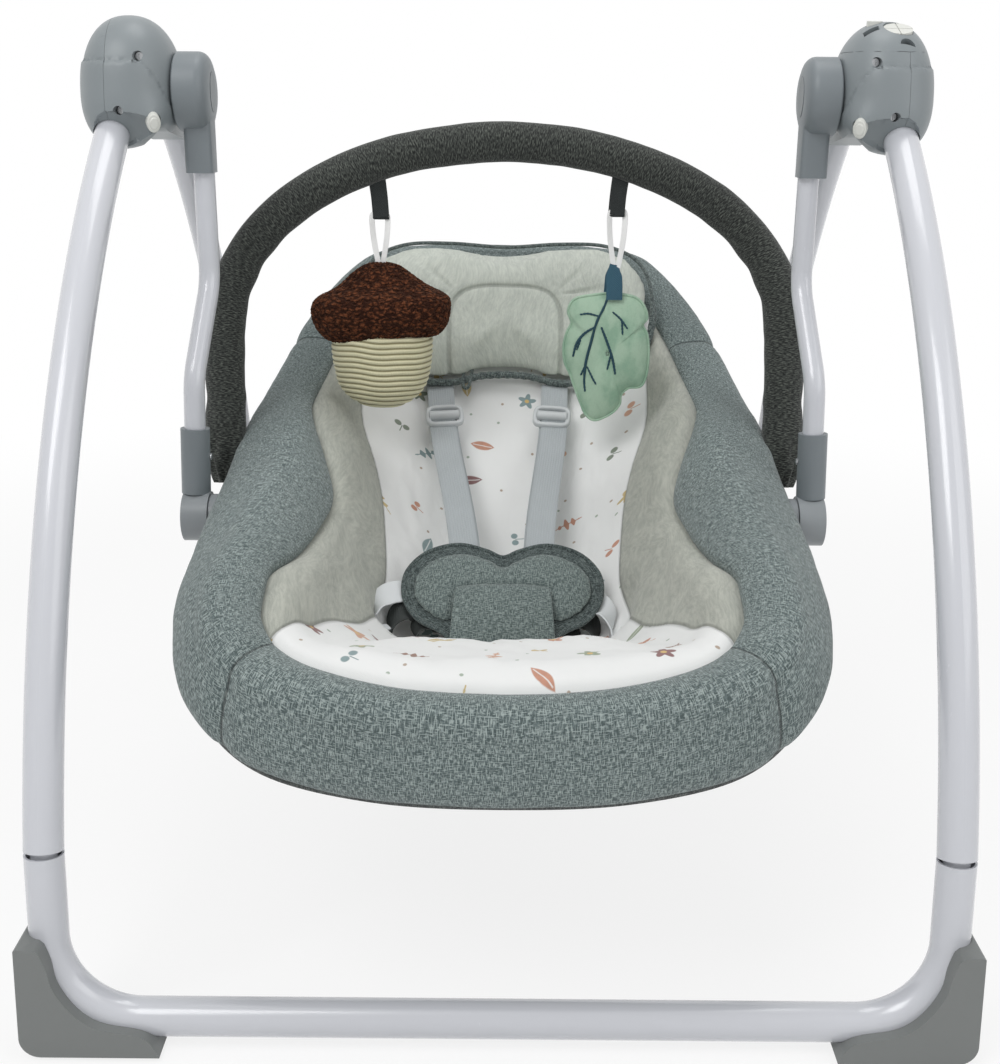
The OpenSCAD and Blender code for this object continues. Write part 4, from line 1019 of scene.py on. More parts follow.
# Half outlines, from the middle of the top edge round to the middle of the bottom edge
PILLOW_HALF = [
    (0, 73), (50, 75), (92, 69), (120, 49), (132, 16), (131, -24), (118, -52), (88, -67), (50, -69), (22, -61), (0, -59),
]
PAD_HALF = [
    (0, 33), (14, 40), (36, 47), (60, 42), (75, 27), (78, 8), (73, -10), (63, -24), (50, -33), (41, -41), (36, -50),
    (20, -54), (0, -55),
]
PAD_FACE_HALF = [
    (0, 26), (13, 32), (34, 38.5), (54, 34), (67, 21), (71, 6), (67, -9), (58, -21), (46, -29), (36, -31), (20, -31),
    (0, -31),
]
ARCH_HALF = [(0, 21), (26, 19), (42, 11), (50, -6), (51, -34), (50, -66)]


def mirrored(half, n):
    """n points on the closed outline made of a half and its mirror image."""
    return spline(half + [(-x, y) for x, y in half[-2:0:-1]], n, closed=True)


def build_pillow(sizes, colours):
    """Head pillow: a crowned pad bent forward at the sides as 24(|x|/131)^2.2, with an arch seam and creases fanning
    from the arch's shoulders, a thin dark edge above and a cord below that hangs in a short loop."""
    out = mirrored(PILLOW_HALF, 120)
    crown = mm(sizes.pillow_crown)

    def bend(x, y):
        return 24 * (abs(x) / 131) ** 2.2 - 5 * smooth_step(20, 70, y)

    g = pad_grid(out, lambda x, y, k: crown * dome(k) + bend(x, y), lambda x, y, k: -7 * dome(k) + bend(x, y), 22)
    shape = Shape().add(into(g, PILLOW_AT), (False, True), caps=True)
    finish = plush_finish(rgba(colours.pillow), rgba(colours.pillow_tuft_shade))
    o = shape.make("pillow", "seat", "pillow_plush", finish, replaces=["head_pillow"])
    swell(o, 4.5, 4.0, 7.0)
    q = back(points_of(o), PILLOW_AT)
    front = q[:, 2] > bend(q[:, 0], q[:, 1]) + 1
    arch = spline([(-x, y) for x, y in ARCH_HALF[:0:-1]] + ARCH_HALF, 60)
    d = line_distance(q[:, :2], arch)
    x, y = abs(q[:, 0]), q[:, 1]
    # the creases fan out from the arch's shoulder
    ang = np.arctan2(y - 10, x - 44)
    away = np.hypot(y - 10, x - 44)
    fan = np.maximum(0, np.sin(ang * 9 + 0.8)) ** 3 * hump(away - 24, 24) * smooth_step(2, 12, away)
    fan = fan * smooth_step(36, 44, x) * smooth_step(-0.7, -0.3, ang)
    upright = np.sin(q[:, 0] / 7.5 + np.sin(y / 14)) * smooth_step(-40, 50, y) * 0.5
    depth = 2.0 * hump(d, 2.6) + 0.9 * hump(d, 9.0) + fan * 2.6 + upright * 0.35 + wave(q, 55, 31)
    press(o, np.where(front, depth, 0))
    tag(o, "seam", np.where(front, d, PLAIN["seam"]))
    unwrap(o)

    # edge: a melange cord below, drawn in to a thin binding above
    edge = np.concatenate([out, bend(out[:, 0], out[:, 1])[:, None]], 1)
    path = spline(into(edge + [0, 0, 1.0], PILLOW_AT), 360, closed=True)
    local = back(path, PILLOW_AT)
    low = smooth_step(6, -12, local[:, 1])
    outward = unit((local - local.mean(0)) * [1, 1, 0])
    path = into(local + outward * (1.5 + 0.8 * low[:, None]) + [0, 0, 1.0], PILLOW_AT)
    face_up = PILLOW_AT[1][2]
    tube = cord_tube(path, 1.7 + 1.6 * low, face_up, closed=True, twist=0.8, depth=0.22 * low[:, None])
    cord = Shape().add(tube, (True, True), extra=PLAIN)
    loop = spline([(-30, -55, 1), (-31, -66, 5), (-33, -76, 7), (-37, -76, 6), (-38, -66, 4), (-37, -56, 1)], 40)
    cord.add(sweep(into(loop, PILLOW_AT), ring_section(1.7, n=8), face_up), caps=True, extra=PLAIN)
    finish = melange_finish("piping", srgb(92, 102, 101), srgb(62, 70, 70), srgb(140, 150, 147))
    cord.make("pillow_piping", "seat", "melange", finish)


def build_heart_pad(sizes, colours):
    """Bare heart-shaped pad: a flat dark back layer with a hemmed edge, a swollen melange face set in from it, and the
    folded band below that carries the middle strap."""

    def curve(x):
        return -9 * (abs(x) / 74) ** 2

    def level(height, lift=0.0, power=2.4, root=0.55):
        """A dome on the base, which curves back at both sides."""
        return lambda x, y, k: height * dome(k, power, root) + curve(x) + lift

    out = mirrored(PAD_HALF, 140)
    backing = pad_grid(out, level(1.6, 0, 8, 0.5), level(-2.4, 0, 8, 0.5), 14)
    b = Shape().add(into(backing, PAD_AT), caps=True, extra=PLAIN)
    rim = np.concatenate([out, curve(out[:, :1])], 1)
    b.add(sweep(into(rim, PAD_AT), ring_section(2.1, n=10), PAD_AT[1][2], closed=True), (True, True), extra=PLAIN)
    hem = melange_finish("pad_back", srgb(74, 84, 84), srgb(52, 60, 60), srgb(112, 122, 120))
    b.make("heart_pad_back", "heart_flap", "charcoal", hem)
    face = pad_grid(mirrored(PAD_FACE_HALF, 140), level(mm(sizes.pad_crown), 0.5, 2.6, 0.6), level(-1.0, 0.3), 22)
    finish = melange_finish("pad_melange", rgba(colours.pad), srgb(78, 89, 88), srgb(143, 154, 151))
    o = Shape().add(into(face, PAD_AT), caps=True).make(
        "heart_pad_face", "heart_flap", "melange", finish, replaces=["heart_pad"]
    )
    swell(o, 3.6, 3.0, 3.0)
    q = back(points_of(o), PAD_AT)
    x, y = abs(q[:, 0]), q[:, 1]
    cleft = np.where(x < 6, 0.8 * hump(y - 18, 10), 0)
    groove = 3.6 * hump(np.maximum(x - 37, y + 3), 4.5)
    press(o, wave(q, 34, 41) * 0.9 + cleft + groove)
    for name, value in PLAIN.items():
        tag(o, name, value)
    unwrap(o, PAD_AT)
    # folded band
    fold = [(-3, 6.0), (-4, 12.5), (-10, 16.0), (-22, 16.0), (-36, 12.5), (-47, 6.5), (-53, -1), (-50, -4)]
    n = 40
    half = lookup([(0, 35), (0.3, 37), (0.7, 40), (1, 38)], np.linspace(0, 1, n))
    sec = ring_section(1.0, 1.0, n, 5.0)
    sec = np.stack([np.broadcast_to(sec[:, 0] * 2.0, (n, n)), sec[:, 1][None] * half[:, None]], -1)
    g = sweep(spline([(0, y, z) for y, z in fold], n), sec, (0, 0.2, 1))
    g[..., 2] += -((g[..., 0] / 40) ** 2) * 5 + wave(g, 22, 43) * 0.8
    Shape().add(into(g, PAD_AT), caps=True, extra=PLAIN).make("heart_pad_band", "heart_flap", "melange", finish)


STRAP_TOP, STRAP_LOW = np.array([50, 176, 333.0]), np.array([27, -41.1, 218.4])
ADJUSTER_DOWN = 46  # from the strap's top to its adjuster


def strap_basis():
    """Direction down the right shoulder strap, its sideways axis, and its outward axis."""
    d = unit(STRAP_LOW - STRAP_TOP)
    side = unit(np.cross(d, [0, 0.5, -1]))
    return d, side, np.cross(d, side)


def strap_lean(sx, t):
    """Both straps lie a few millimetres to the left of their neat places at the top, the left one more."""
    return np.array([1.0, 0, 0]) * (9.0 if sx < 0 else -4.0) * (1 - np.asarray(t, float))


def build_shoulder_straps(sizes, colours):
    """Shoulder straps in woven tape, each with a doubled tail below its adjuster."""
    _, side, up = strap_basis()
    wide = mm(sizes.strap_width)
    s = Shape()

    def along(sx, t, lift, aside):
        """The strap's line at shares t of its fall, raised by lift and moved sideways, with a slight snake in it."""
        line = STRAP_TOP + strap_lean(sx, t) + (STRAP_LOW - STRAP_TOP) * t + up * lift
        return line + side * (1.6 * np.sin(2 * np.pi * t) + aside)

    for sx in (1, -1):
        t = np.linspace(0, 1, 60)[:, None]
        path = along(sx, t, 1.0 - 2.2 * np.sin(np.pi * t), 0.0)
        path = np.concatenate([path[:1] + [[0, 10, -9]], path])
        t = np.linspace(0.2, 0.97, 40)[:, None]
        tail = along(sx, t, 1.4 + np.sin(np.pi * (t - 0.2) / 0.77), 1.2)
        for points, width, thick in ((path, wide, 1.7), (tail, wide - 0.6, 1.3)):
            g, extra = tape(points, width, thick, up)
            s.add(g * [sx, 1, 1], caps=True, extra=extra)
    s.make("shoulder_webbing", "seat", "webbing", webbing_finish(rgba(colours.webbing)), replaces=["shoulder_straps"])


# Lines of the left waist strap's loops, from the pad outward and down through the seat
LIGHT_LOOP = [
    (-50, -42, 200), (-64, -44, 208), (-74, -47, 212), (-83, -52, 214), (-91, -59, 213), (-97, -67, 208),
    (-100, -74, 199), (-99, -80, 188), (-94, -86, 172),
]
INNER_LOOP = [
    (-46, -52, 192), (-56, -54, 196), (-64, -57, 199), (-72, -62, 202), (-79, -67, 202), (-84, -73, 197),
    (-86, -79, 189), (-84, -84, 172),
]
SMALL_LOOP = [
    (-36, -58, 180), (-44, -62, 188), (-52, -67, 194), (-60, -72, 196), (-65, -78, 192), (-66, -83, 184),
    (-64, -88, 172),
]


def build_waist_straps():
    """Waist straps that open in a light loop over two dark ones, and the middle strap."""
    webbing = bpy.data.materials["webbing"]
    w, dark = Shape(), Shape()
    front = unit(np.array([0, -0.92, -0.4]))
    cloth = points_of(bpy.data.objects["seat_liner_cloth"])

    def tucked(p):
        """No point lies more than 5 mm below the liner."""
        near = np.hypot(*(cloth[:, None, :2] - p[None, :, :2]).transpose(2, 0, 1)).argmin(0)
        return np.column_stack([p[:, :2], np.maximum(p[:, 2], cloth[near, 2] - 5)])

    # each loop's width runs to the front and down, so its bend is seen from the front; the right ones lie closer in
    for sx, close, lower in ((-1, 1.0, 0), (1, 0.84, 7)):
        for points, width, shape in ((LIGHT_LOOP, 22, w), (INNER_LOOP, 22, dark), (SMALL_LOOP, 20, dark)):
            path = spline(tucked(np.array(points) * [-sx * close, 1, 1] - [0, 0, lower]), 60)
            g, extra = tape(path, width, 1.7, np.cross(tangents(path), front))
            shape.add(g, caps=True, extra=extra)
    w.make("waist_webbing", "seat", "webbing", webbing, replaces=["waist_straps"])
    dark.make("waist_loops", "seat", "charcoal", herringbone_finish("dark_loop_tape", srgb(58, 62, 61)))
    g, extra = tape(spline([(0, -62, 204), (0, -72, 196), (0, -84, 186), (0, -95, 176)], 24), 30, 2.2, (0, -0.7, 0.7))
    shape = Shape().add(g, caps=True, extra=extra)
    shape.make("middle_webbing", "seat", "webbing", webbing, replaces=["crotch_strap"])


def build_adjusters():
    """Strap adjusters: a rounded frame with a thick middle bar that the strap wraps."""
    d, side, up = strap_basis()
    length = np.linalg.norm(STRAP_LOW - STRAP_TOP)
    finish = bpy.data.materials["adjuster_plastic"]
    for sx, name, body, node in (
        (1, "adjuster_right", "adjuster_r", "strap_adjuster_right"),
        (-1, "adjuster_left", "adjuster_l", "strap_adjuster_left"),
    ):
        centre = STRAP_TOP + d * ADJUSTER_DOWN + up * 1.2 + strap_lean(sx, ADJUSTER_DOWN / length)
        a = circle(72)[:, None]
        x, y = 14.6 * squared(np.cos(a), 0.42), 11.4 * squared(np.sin(a), 0.42)
        path = centre + side * x + d * y + up * (0.5 + 0.9 * np.cos(x / 15))
        frame_ring = sweep(path, ring_section(2.6, 2.3, 14, 3.0), up, closed=True)
        t = np.linspace(-13.4, 13.4, 20)[:, None]
        bar = sweep(centre + side * t + up * 2.3, ring_section(3.9, 4.6, 18, 2.4), up)
        s = Shape().add(frame_ring * [sx, 1, 1], (True, True)).add(bar * [sx, 1, 1], caps=True)
        s.make(name, body, "adjuster_plastic", finish, replaces=[node])


# ---------- toy bar and toys ----------
# the bar's right end, its lean back in degrees, and its arch: half width, height, and length of the straight sides
BAR_BASE, BAR_LEAN = np.array([226.0, 14, 290]), 17.3
ARCH_W, ARCH_H, ARCH_SIDE = 228.0, 146.0, 128.0
# the acorn (-1) and the leaf (1): where each hangs and how high its top is
TOY_X = {-1: -104.0, 1: 92.0}
TOY_TOP = {-1: 453.0, 1: 452.0}
BAR_UP = np.array([0, np.sin(np.radians(BAR_LEAN)), np.cos(np.radians(BAR_LEAN))])


def bar_path(n, drop):
    """The toy bar's middle line: straight sides that widen slightly and start drop below the base, and half an
    ellipse above them."""
    k = np.linspace(-drop / ARCH_SIDE, 1, 14)[:-1]
    up = np.stack([BAR_BASE[0] + 2 * np.sin(np.clip(k, 0, 1) * np.pi / 2), ARCH_SIDE * k], 1)
    a = np.linspace(0, np.pi, 90)
    arch = np.stack([ARCH_W * np.cos(a), ARCH_SIDE + ARCH_H * np.sin(a)], 1)
    p = even(np.concatenate([up, arch, up[::-1] * [-1, 1]]), 61)
    for _ in range(3):
        p[1:-1] = (p[:-2] + 2 * p[1:-1] + p[2:]) / 4
    p = spline(p, 300)
    path = np.stack([p[:, 0], 0 * p[:, 0] + BAR_BASE[1], 0 * p[:, 0] + BAR_BASE[2]], 1) + BAR_UP * p[:, 1:]
    return even(path, n)


# Radius of the padding by distance from either end
BAR_RADIUS = [(0, 7.5), (6, 10.5), (14, 14.5), (30, 17), (48, 16.6), (66, 15.6), (90, 15.9), (900, 16.2)]


def build_toy_bar(colours):
    """Padded bar in dark heather: soft cross creases at the shoulders, and pleated ends that swell and then narrow
    where they are tied behind the rim."""
    path = bar_path(420, drop=6.0)
    s = run_along(path)
    e = np.minimum(s, s[-1] - s)[:, None]
    a = circle(44)[None]
    cos, sin = np.cos(a), np.sin(a)
    pleat = smooth_step(58, 14, e) * (1.7 * np.sin(7 * a + e / 9) + 1.0 * np.sin(11 * a - e / 6 + 1))
    creases = 0.55 * np.sin(e / 5.2 + 1.1 * sin) * np.maximum(0, np.cos(a + 0.4)) * hump(e - 175, 60)
    neck = 0.9 * hump(e - 70, 7) * cos + 0.5 * hump(e - 128, 6) * np.maximum(0, cos)
    lump = wave(path[:, None] + np.stack([cos, sin, 0 * a], -1) * 16, 60, 51) * 0.8
    rad = lookup(BAR_RADIUS, e) + pleat + creases + neck + lump
    inward = np.cross(np.cross([1.0, 0, 0], BAR_UP), tangents(path))
    g = sweep(path, np.stack([rad * cos, rad * sin], -1), inward)
    finish = heather_finish(rgba(colours.bar))
    shape = Shape().add(g, caps=True, extra=PLAIN)
    o = shape.make("toy_bar_padding", "toy_bar", "charcoal", finish, replaces=["toy_bar_cover"])
    return o


def toy_hook(side):
    """Where a toy hangs on the bar's middle line."""
    a = np.arccos(TOY_X[side] / ARCH_W)
    return BAR_BASE + BAR_UP * (ARCH_SIDE + ARCH_H * np.sin(a)) - [BAR_BASE[0] - TOY_X[side], 0, 0]


UNDER_BAR = 18.4  # from the bar's middle line down to where the tapes start to show


def build_tabs():
    """Dark tape loops stitched under the bar."""
    s = Shape()
    for sx in (-1, 1):
        _, y, z = toy_hook(sx)
        top, x, skew = z - UNDER_BAR, TOY_X[sx], 2.5 * sx
        for k in (-1, 1):
            path = spline([
                (x + skew, y + k * 4.5, top + 9), (x + skew * 0.6, y + k * 3.0, top + 1), (x, y + k * 1.3, top - 12),
                (x - skew * 0.4, y + k * 1.0, top - 27),
            ], 30)
            g, extra = tape(path, 13.5, 1.4, (0, 1, 0), 16)
            s.add(g, caps=True, extra=extra)
        a = np.linspace(0, np.pi, 14)
        path = np.stack([0 * a + x - skew * 0.4, y + np.cos(a), top - 27 - np.sin(a) * 1.4], 1)
        g, extra = tape(path, 13.5, 1.4, np.stack([0 * a, np.cos(a), -np.sin(a)], 1), 16)
        s.add(g, caps=True, extra=extra)
    s.make("bar_tabs", "toy_bar", "charcoal", herringbone_finish("tab_tape", srgb(50, 54, 54)), replaces=["toy_tabs"])


def build_ribbons():
    """White ribbons that narrow from each tape loop towards its toy."""
    white = bpy.data.materials["ribbon_white"]
    for sx, name, body, node in (
        (-1, "ribbon_acorn", "acorn_toy", "acorn_toy_ribbon"),
        (1, "ribbon_leaf", "leaf_toy_body", "leaf_toy_ribbon"),
    ):
        _, y, z = toy_hook(sx)
        top, x, low = z - UNDER_BAR, TOY_X[sx], TOY_TOP[sx] - 3
        r = Shape()
        for k in (-1, 1):
            x0, x1 = x + k * 6.4, x + k * 1.3
            path = spline([
                (x0 - k * 2.4, y + k * 0.5, top - 24), (x0, y + k, top - 28),
                ((x0 + x1) / 2 + k * 1.4, y - 1.2 * k, (top - 28) * 0.55 + low * 0.45), (x1, y, low),
            ], 34)
            g, extra = tape(path, 4.6, 0.9, (0.35 * k, 1, 0), 14)
            r.add(g, caps=True, extra=extra)
        r.make(name, body, "ribbon_white", white, replaces=[node])


# Profiles from the middle outward and down: radius and height below the top
CAP_PROFILE = [
    (1, 0.5), (10, -0.6), (18, -4), (27, -11), (35, -17.5), (43, -22), (51, -25.5), (56.8, -31), (58, -40),
    (55.5, -49), (49.5, -57), (42, -61), (30, -62), (8, -61),
]
CUP_PROFILE = [
    (34, -57), (41, -59), (42.6, -65), (42.2, -77), (40.5, -89), (37, -101), (30, -111), (20, -118), (9, -121),
    (1, -121.4),
]


def build_acorn_cap(colours):
    """The acorn's teddy cap: a rounded, sloping top over a wide brim, covered in small curls."""
    at = np.array([TOY_X[-1], toy_hook(-1)[1], TOY_TOP[-1]])
    prof = spline(CAP_PROFILE, 210)
    a = circle(280)[None]
    w, depth = prof[:, :1], prof[:, 1:]
    x = w * squared(np.cos(a), 0.92)
    y = w * lookup([(0, 0.62), (30, 0.6), (55, 0.56)], w) * squared(np.sin(a), 0.92)
    z = depth + 2.2 * np.sin(x / 17 + 0.6) * smooth_step(-20, -56, depth) + x * 0.03
    g = np.stack([x, y, z], -1)
    nor = unit(np.stack([x, y * 2.4, (z + 30) * 0.9], -1))
    curls = (1 - np.abs(wave(g, 4.6, 61, 2)) * 2.4) * 1.15 + wave(g, 2.2, 63, 2) * 0.5
    puff = wave(g, 42, 65) * 1.6
    g = g + nor * (curls + puff)[..., None]
    finish = teddy_finish(rgba(colours.teddy_hollow_shade), rgba(colours.teddy))
    cap = Shape().add(g + at, caps=True)
    o = cap.make("acorn_cap_teddy", "acorn_toy", "teddy", finish, replaces=["acorn_toy_cap"])


def build_acorn_cup(sizes, colours):
    """The acorn's corduroy cup: level wales of height 1 - 2|sin(pi z/pitch)|^3.2 that sag a little and fade out where
    the bottom lies flat, puckered under the cap."""
    at = np.array([TOY_X[-1], toy_hook(-1)[1], TOY_TOP[-1]])
    prof = spline(CUP_PROFILE, 190)
    a = circle(120)[None]
    w = prof[:, :1]
    x, y = w * squared(np.cos(a), 0.9), w * 0.66 * np.sin(a)
    z = prof[:, 1:] + 0 * a
    sag = 0.9 * np.sin(x / 13 + 0.4) + 0.5 * np.sin(x / 6.0 + 2)
    phase = (z + sag) * (2 * np.pi / mm(sizes.wale_pitch))
    steep = np.abs(tangents(prof)[:, 1:])
    upright = smooth_step(0.15, 0.5, steep)
    ridge = (1 - 2 * np.abs(np.sin(phase / 2)) ** 3.2) * upright + (1 - upright)
    g = np.stack([x, y, z], -1)
    nor = unit(np.stack([x, y * 2.2, (z + 82) * 0.35], -1))
    pucker = 0.7 * np.sin(a * 12 + 0.7) * smooth_step(18, 6, run_along(prof)[:, None])
    g = g + nor * (ridge * 0.45 + wave(g, 30, 67) + pucker)[..., None]
    finish = corduroy_finish(rgba(colours.corduroy_groove_shade), rgba(colours.corduroy))
    cup = Shape().add(g + at, caps=True, extra={"wale": ridge})
    o = cup.make("acorn_cup_corduroy", "acorn_toy", "corduroy", finish, replaces=["acorn_toy_cup"])


LEAF_OUT = [
    (-12, 0), (0, 1), (14, 0), (23, -3), (29, -10), (31.5, -19), (28, -25), (32, -33), (34, -48), (33, -66),
    (28.5, -77), (18, -79), (12, -85), (11, -93), (4, -101), (-9, -107), (-17, -103), (-22, -93), (-28, -78),
    (-32, -67), (-36.5, -57), (-37.5, -44), (-35, -32), (-31.5, -24), (-34.5, -14), (-29, -4),
]
LEAF_VEINS = [
    [(-1, 2), (-5, -9), (-11, -22), (-15, -38), (-19, -56), (-20, -72), (-19, -82)],
    [(-9, -17), (-18, -15), (-25, -16)],
    [(-12, -26), (-20, -31), (-27, -40), (-30, -52)],
    [(-24, -37), (-27, -46)],
    [(-7, -26), (-2, -38), (3, -52), (6, -66)],
    [(2, -48), (-1, -62)],
    [(2, -13), (9, -19), (15, -27)],
    [(10, -20), (11, -32)],
    [(-18, -60), (-13, -70), (-10, -75)],
    [(-19, -58), (-23, -68)],
]


LEAF_ACROSS = (0, -1, 0)  # the way the leaf faces


def leaf_sag(x, y):
    """The leaf's bend towards the viewer at its lower end, and its slight tilt."""
    return 4 * np.sin(y / 42.0) + x * 0.07


def leaf_face(x, y, k):
    """Height of the leaf's face at share k of the way out: a padded dome with soft lobes."""
    lobes = 1.3 * np.cos(x / 9.0 + 0.4) * np.cos(y / 13.0)
    return 9.5 * dome(k, 2.2, 0.62) + lobes * (1 - k**2) + leaf_sag(x, y)


def build_leaf(colours):
    """Soft oak-like leaf: a crowned velour pad with a stitched edge ridge, stem-stitched veins carried as cords on its
    face, and a folded stem tape."""
    y0, x0, top = toy_hook(1)[1], TOY_X[1], TOY_TOP[1]
    at = (np.array([x0 - 4, y0, top - 24]), np.array([[1, 0, 0], [0, 0, 1.0], [0, -1, 0]]))
    out = spline(LEAF_OUT, 200, closed=True)
    no_veins = {"vein": 99.0, "run": 0.0}
    g = pad_grid(out, leaf_face, lambda x, y, k: -8 * dome(k, 2.4, 0.6) + leaf_sag(x, y), 34)
    s = Shape().add(into(g, at), caps=True, extra=no_veins)
    lip = np.concatenate([out, leaf_sag(out[:, :1], out[:, 1:])], 1)
    lip = lip.mean(0) + (lip - lip.mean(0)) * [1.012, 1.012, 1]
    s.add(sweep(into(lip, at), ring_section(1.5, 1.1, 8), LEAF_ACROSS, closed=True), (True, True), extra=no_veins)
    finish = leaf_finish(rgba(colours.leaf_dark), rgba(colours.leaf))
    s.make("leaf_velour", "leaf_toy_body", "leaf_cotton", finish, replaces=["leaf_toy"])

    v = Shape()
    middle = out.mean(0)
    spokes = out - middle
    bearing = np.arctan2(spokes[:, 1], spokes[:, 0])
    order = np.argsort(bearing)
    radius = np.linalg.norm(spokes, axis=1)
    swell_in = np.sin(np.linspace(0.35, np.pi - 0.35, 40)) ** 0.4
    for line in LEAF_VEINS:
        p = spline(line, 40)
        ray = p - middle
        reach = np.interp(np.arctan2(ray[:, 1], ray[:, 0]), bearing[order], radius[order], period=2 * np.pi)
        k = np.clip(np.linalg.norm(ray, axis=1) / reach, 0, 0.98)
        path = np.concatenate([p, (leaf_face(p[:, 0], p[:, 1], k) + 0.1)[:, None]], 1)
        size = 1.15 if len(line) > 3 else 0.85
        cord = cord_tube(into(path, at), size * swell_in, LEAF_ACROSS, twist=2.2, depth=0.16, n=10)
        v.add(cord, caps=True, extra={"run": 0.0, "across": 0.0})
    v.make("leaf_veins", "leaf_toy_body", "leaf_cotton", herringbone_finish("vein_thread", srgb(48, 78, 90)))

    path = spline([
        (x0 - 1, y0 - 6.5, top - 27), (x0 - 1, y0 - 5.2, top - 17), (x0 - 1.5, y0 - 2.6, top - 5), (x0 - 1, y0, top),
        (x0 - 1.5, y0 + 2.6, top - 5), (x0 - 2.5, y0 + 4, top - 22),
    ], 46)
    g, extra = tape(path, 13.5, 1.6, (0, 1, 0.2), 16)
    # narrower where it is folded over the ribbon
    g[..., 0] = path[:, :1] + (g[..., 0] - path[:, :1]) * (1 - 0.35 * smooth_step(top - 9, top, path[:, 2:]))
    tape_piece = Shape().add(g, caps=True, extra=extra)
    finish = herringbone_finish("stem_tape", srgb(62, 98, 116))
    tape_piece.make("leaf_stem_tape", "leaf_toy_body", "leaf_cotton", finish)


# ---------- frame parts kept from the CAD ----------

NODE_FINISH = {
    "enamel": (
        "front_leg_left", "front_leg_right", "front_base_tube", "rear_leg_left", "rear_leg_right", "rear_base_tube",
        "arm_tube_left", "arm_tube_right",
    ),
    "cover": ("rear_corner_cover_left", "rear_corner_cover_right"),
    "rubber": ("front_foot_pads", "rear_foot_pads"),
    "window": ("indicator_windows",),
    "steel": ("hub_screws", "sleeve_screws", "swing_pins", "seat_hoop", "toy_bar_tube"),
    "button": (
        "power_button", "quad_button_front_inner", "quad_button_front_outer", "quad_button_rear_inner",
        "quad_button_rear_outer",
    ),
    "socket": ("rear_socket_left", "rear_socket_right"),
    "insert": ("arm_cap_inserts",),
    "barrel": ("seat_hinge_discs",),
    "buckle": ("buckle",),
}


MADE = {}  # the hard finishes by short name, which dress_nodes fills and the pieces below share


def dress_nodes(colours):
    """Makes the hard finishes and gives each CAD node that stays its own."""
    hub, arm, cover, button = (rgba(c) for c in (colours.hub, colours.arm, colours.cover, colours.button))
    MADE.update({
        "enamel": enamel_finish(rgba(colours.enamel)),
        "cover": moulded("cover_plastic", cover, 0.5, 0.6, 1100.0, Specular_IOR_Level=0.4),
        "rubber": moulded("rubber_pad", srgb(66, 68, 68), 0.8, 0.8, 700.0),
        "hub": moulded("hub_plastic", hub, 0.4, 0.25, 1700.0, Specular_IOR_Level=0.45),
        "socket": moulded("socket_plastic", srgb(150, 156, 158), 0.42, 0.25, 1700.0),
        "arm": moulded("arm_plastic", arm, 0.42, 0.3, 1500.0, Specular_IOR_Level=0.45),
        "insert": moulded("insert_plastic", srgb(104, 111, 114), 0.4, 0.3, 1500.0),
        "barrel": moulded("barrel_plastic", srgb(142, 147, 150), 0.36, 0.2, 1700.0),
        "window": window_finish(),
        "steel": steel_finish(),
        "button": moulded("button_white", button, 0.36, 0.2, 1500.0),
        "buckle": moulded("buckle_plastic", srgb(120, 126, 129), 0.38, 0.25, 1500.0),
    })
    for finish, nodes in NODE_FINISH.items():
        for node in nodes:
            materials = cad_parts[node].data.materials
            materials.clear()
            materials.append(MADE[finish])


# ---------- moulded housings ----------
HUB_CENTRE = np.array([276.0, 0, 588])
LEG_EXIT = np.array([286.0, -34.5, 558])
BUTTON_AT = np.array([257.0, -35, 570])


def merged(node, name, flats=0.0):
    """A copy of a CAD node's mesh with its doubled points merged, and with faces joined that lie within flats degrees
    of each other."""
    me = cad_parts[node].data.copy()
    me.name = name
    bm = bmesh.new()
    bm.from_mesh(me)
    bmesh.ops.remove_doubles(bm, verts=bm.verts, dist=0.00002)
    if flats:
        bmesh.ops.dissolve_limit(bm, angle_limit=np.radians(flats), verts=bm.verts, edges=bm.edges)
    bm.to_mesh(me)
    bm.free()
    if "custom_normal" in me.attributes:
        me.attributes.remove(me.attributes["custom_normal"])
    o = bpy.data.objects.new(name, me)
    bpy.context.scene.collection.objects.link(o)
    return o


def split_finer(o):
    """Splits every face evenly into sixteen, so that it can follow a smooth form."""
    bpy.context.view_layer.objects.active = o
    m = o.modifiers.new("finer", "SUBSURF")
    m.subdivision_type = "SIMPLE"
    m.levels = m.render_levels = 2
    bpy.ops.object.modifier_apply(modifier="finer")


def finish_copy(o, node, body, finish, sharp):
    """Smooth shading with crisp edges past the given angle, then the copy takes its node's place."""
    me = o.data
    me.polygons.foreach_set("use_smooth", np.ones(len(me.polygons), bool))
    me.set_sharp_from_angle(angle=float(np.radians(sharp)))
    me.materials.clear()
    me.materials.append(finish)
    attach(o, body)
    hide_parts(node)


def eased(node, name, body, finish, flats, width, angle):
    """A copy of a CAD node with its flats joined and each edge past the angle rounded by the given width."""
    o = merged(node, name, flats)
    b = o.modifiers.new("ease", "BEVEL")
    b.width, b.segments, b.limit_method, b.angle_limit = width * MM, 2, "ANGLE", np.radians(angle)
    finish_copy(o, node, body, MADE[finish], 40)
    return o


def hub_radius(d):
    """Distance from the housing's centre to its skin in unit directions d: a superellipsoid of exponent 2.25 with a
    flared skirt round the leg and a small boss round the button, both bells in the angle from their own direction."""
    wide = np.where(d[:, 0] > 0, 36.0, 35.0)
    high = np.where(d[:, 2] > 0, 53.0, 37.0)
    base = (abs(d[:, 0] / wide) ** 2.25 + abs(d[:, 1] / 46.0) ** 2.25 + abs(d[:, 2] / high) ** 2.25) ** (-1 / 2.25)

    def bell(at, spread):
        away = np.degrees(np.arccos(np.clip(d @ unit(at - HUB_CENTRE), -1, 1)))
        return hump(away, spread)

    return base + 9 * bell(LEG_EXIT, 30) + 7 * bell(BUTTON_AT, 15)


CREASE_AT = 20.0  # height of the level part of the crease over the housing's centre


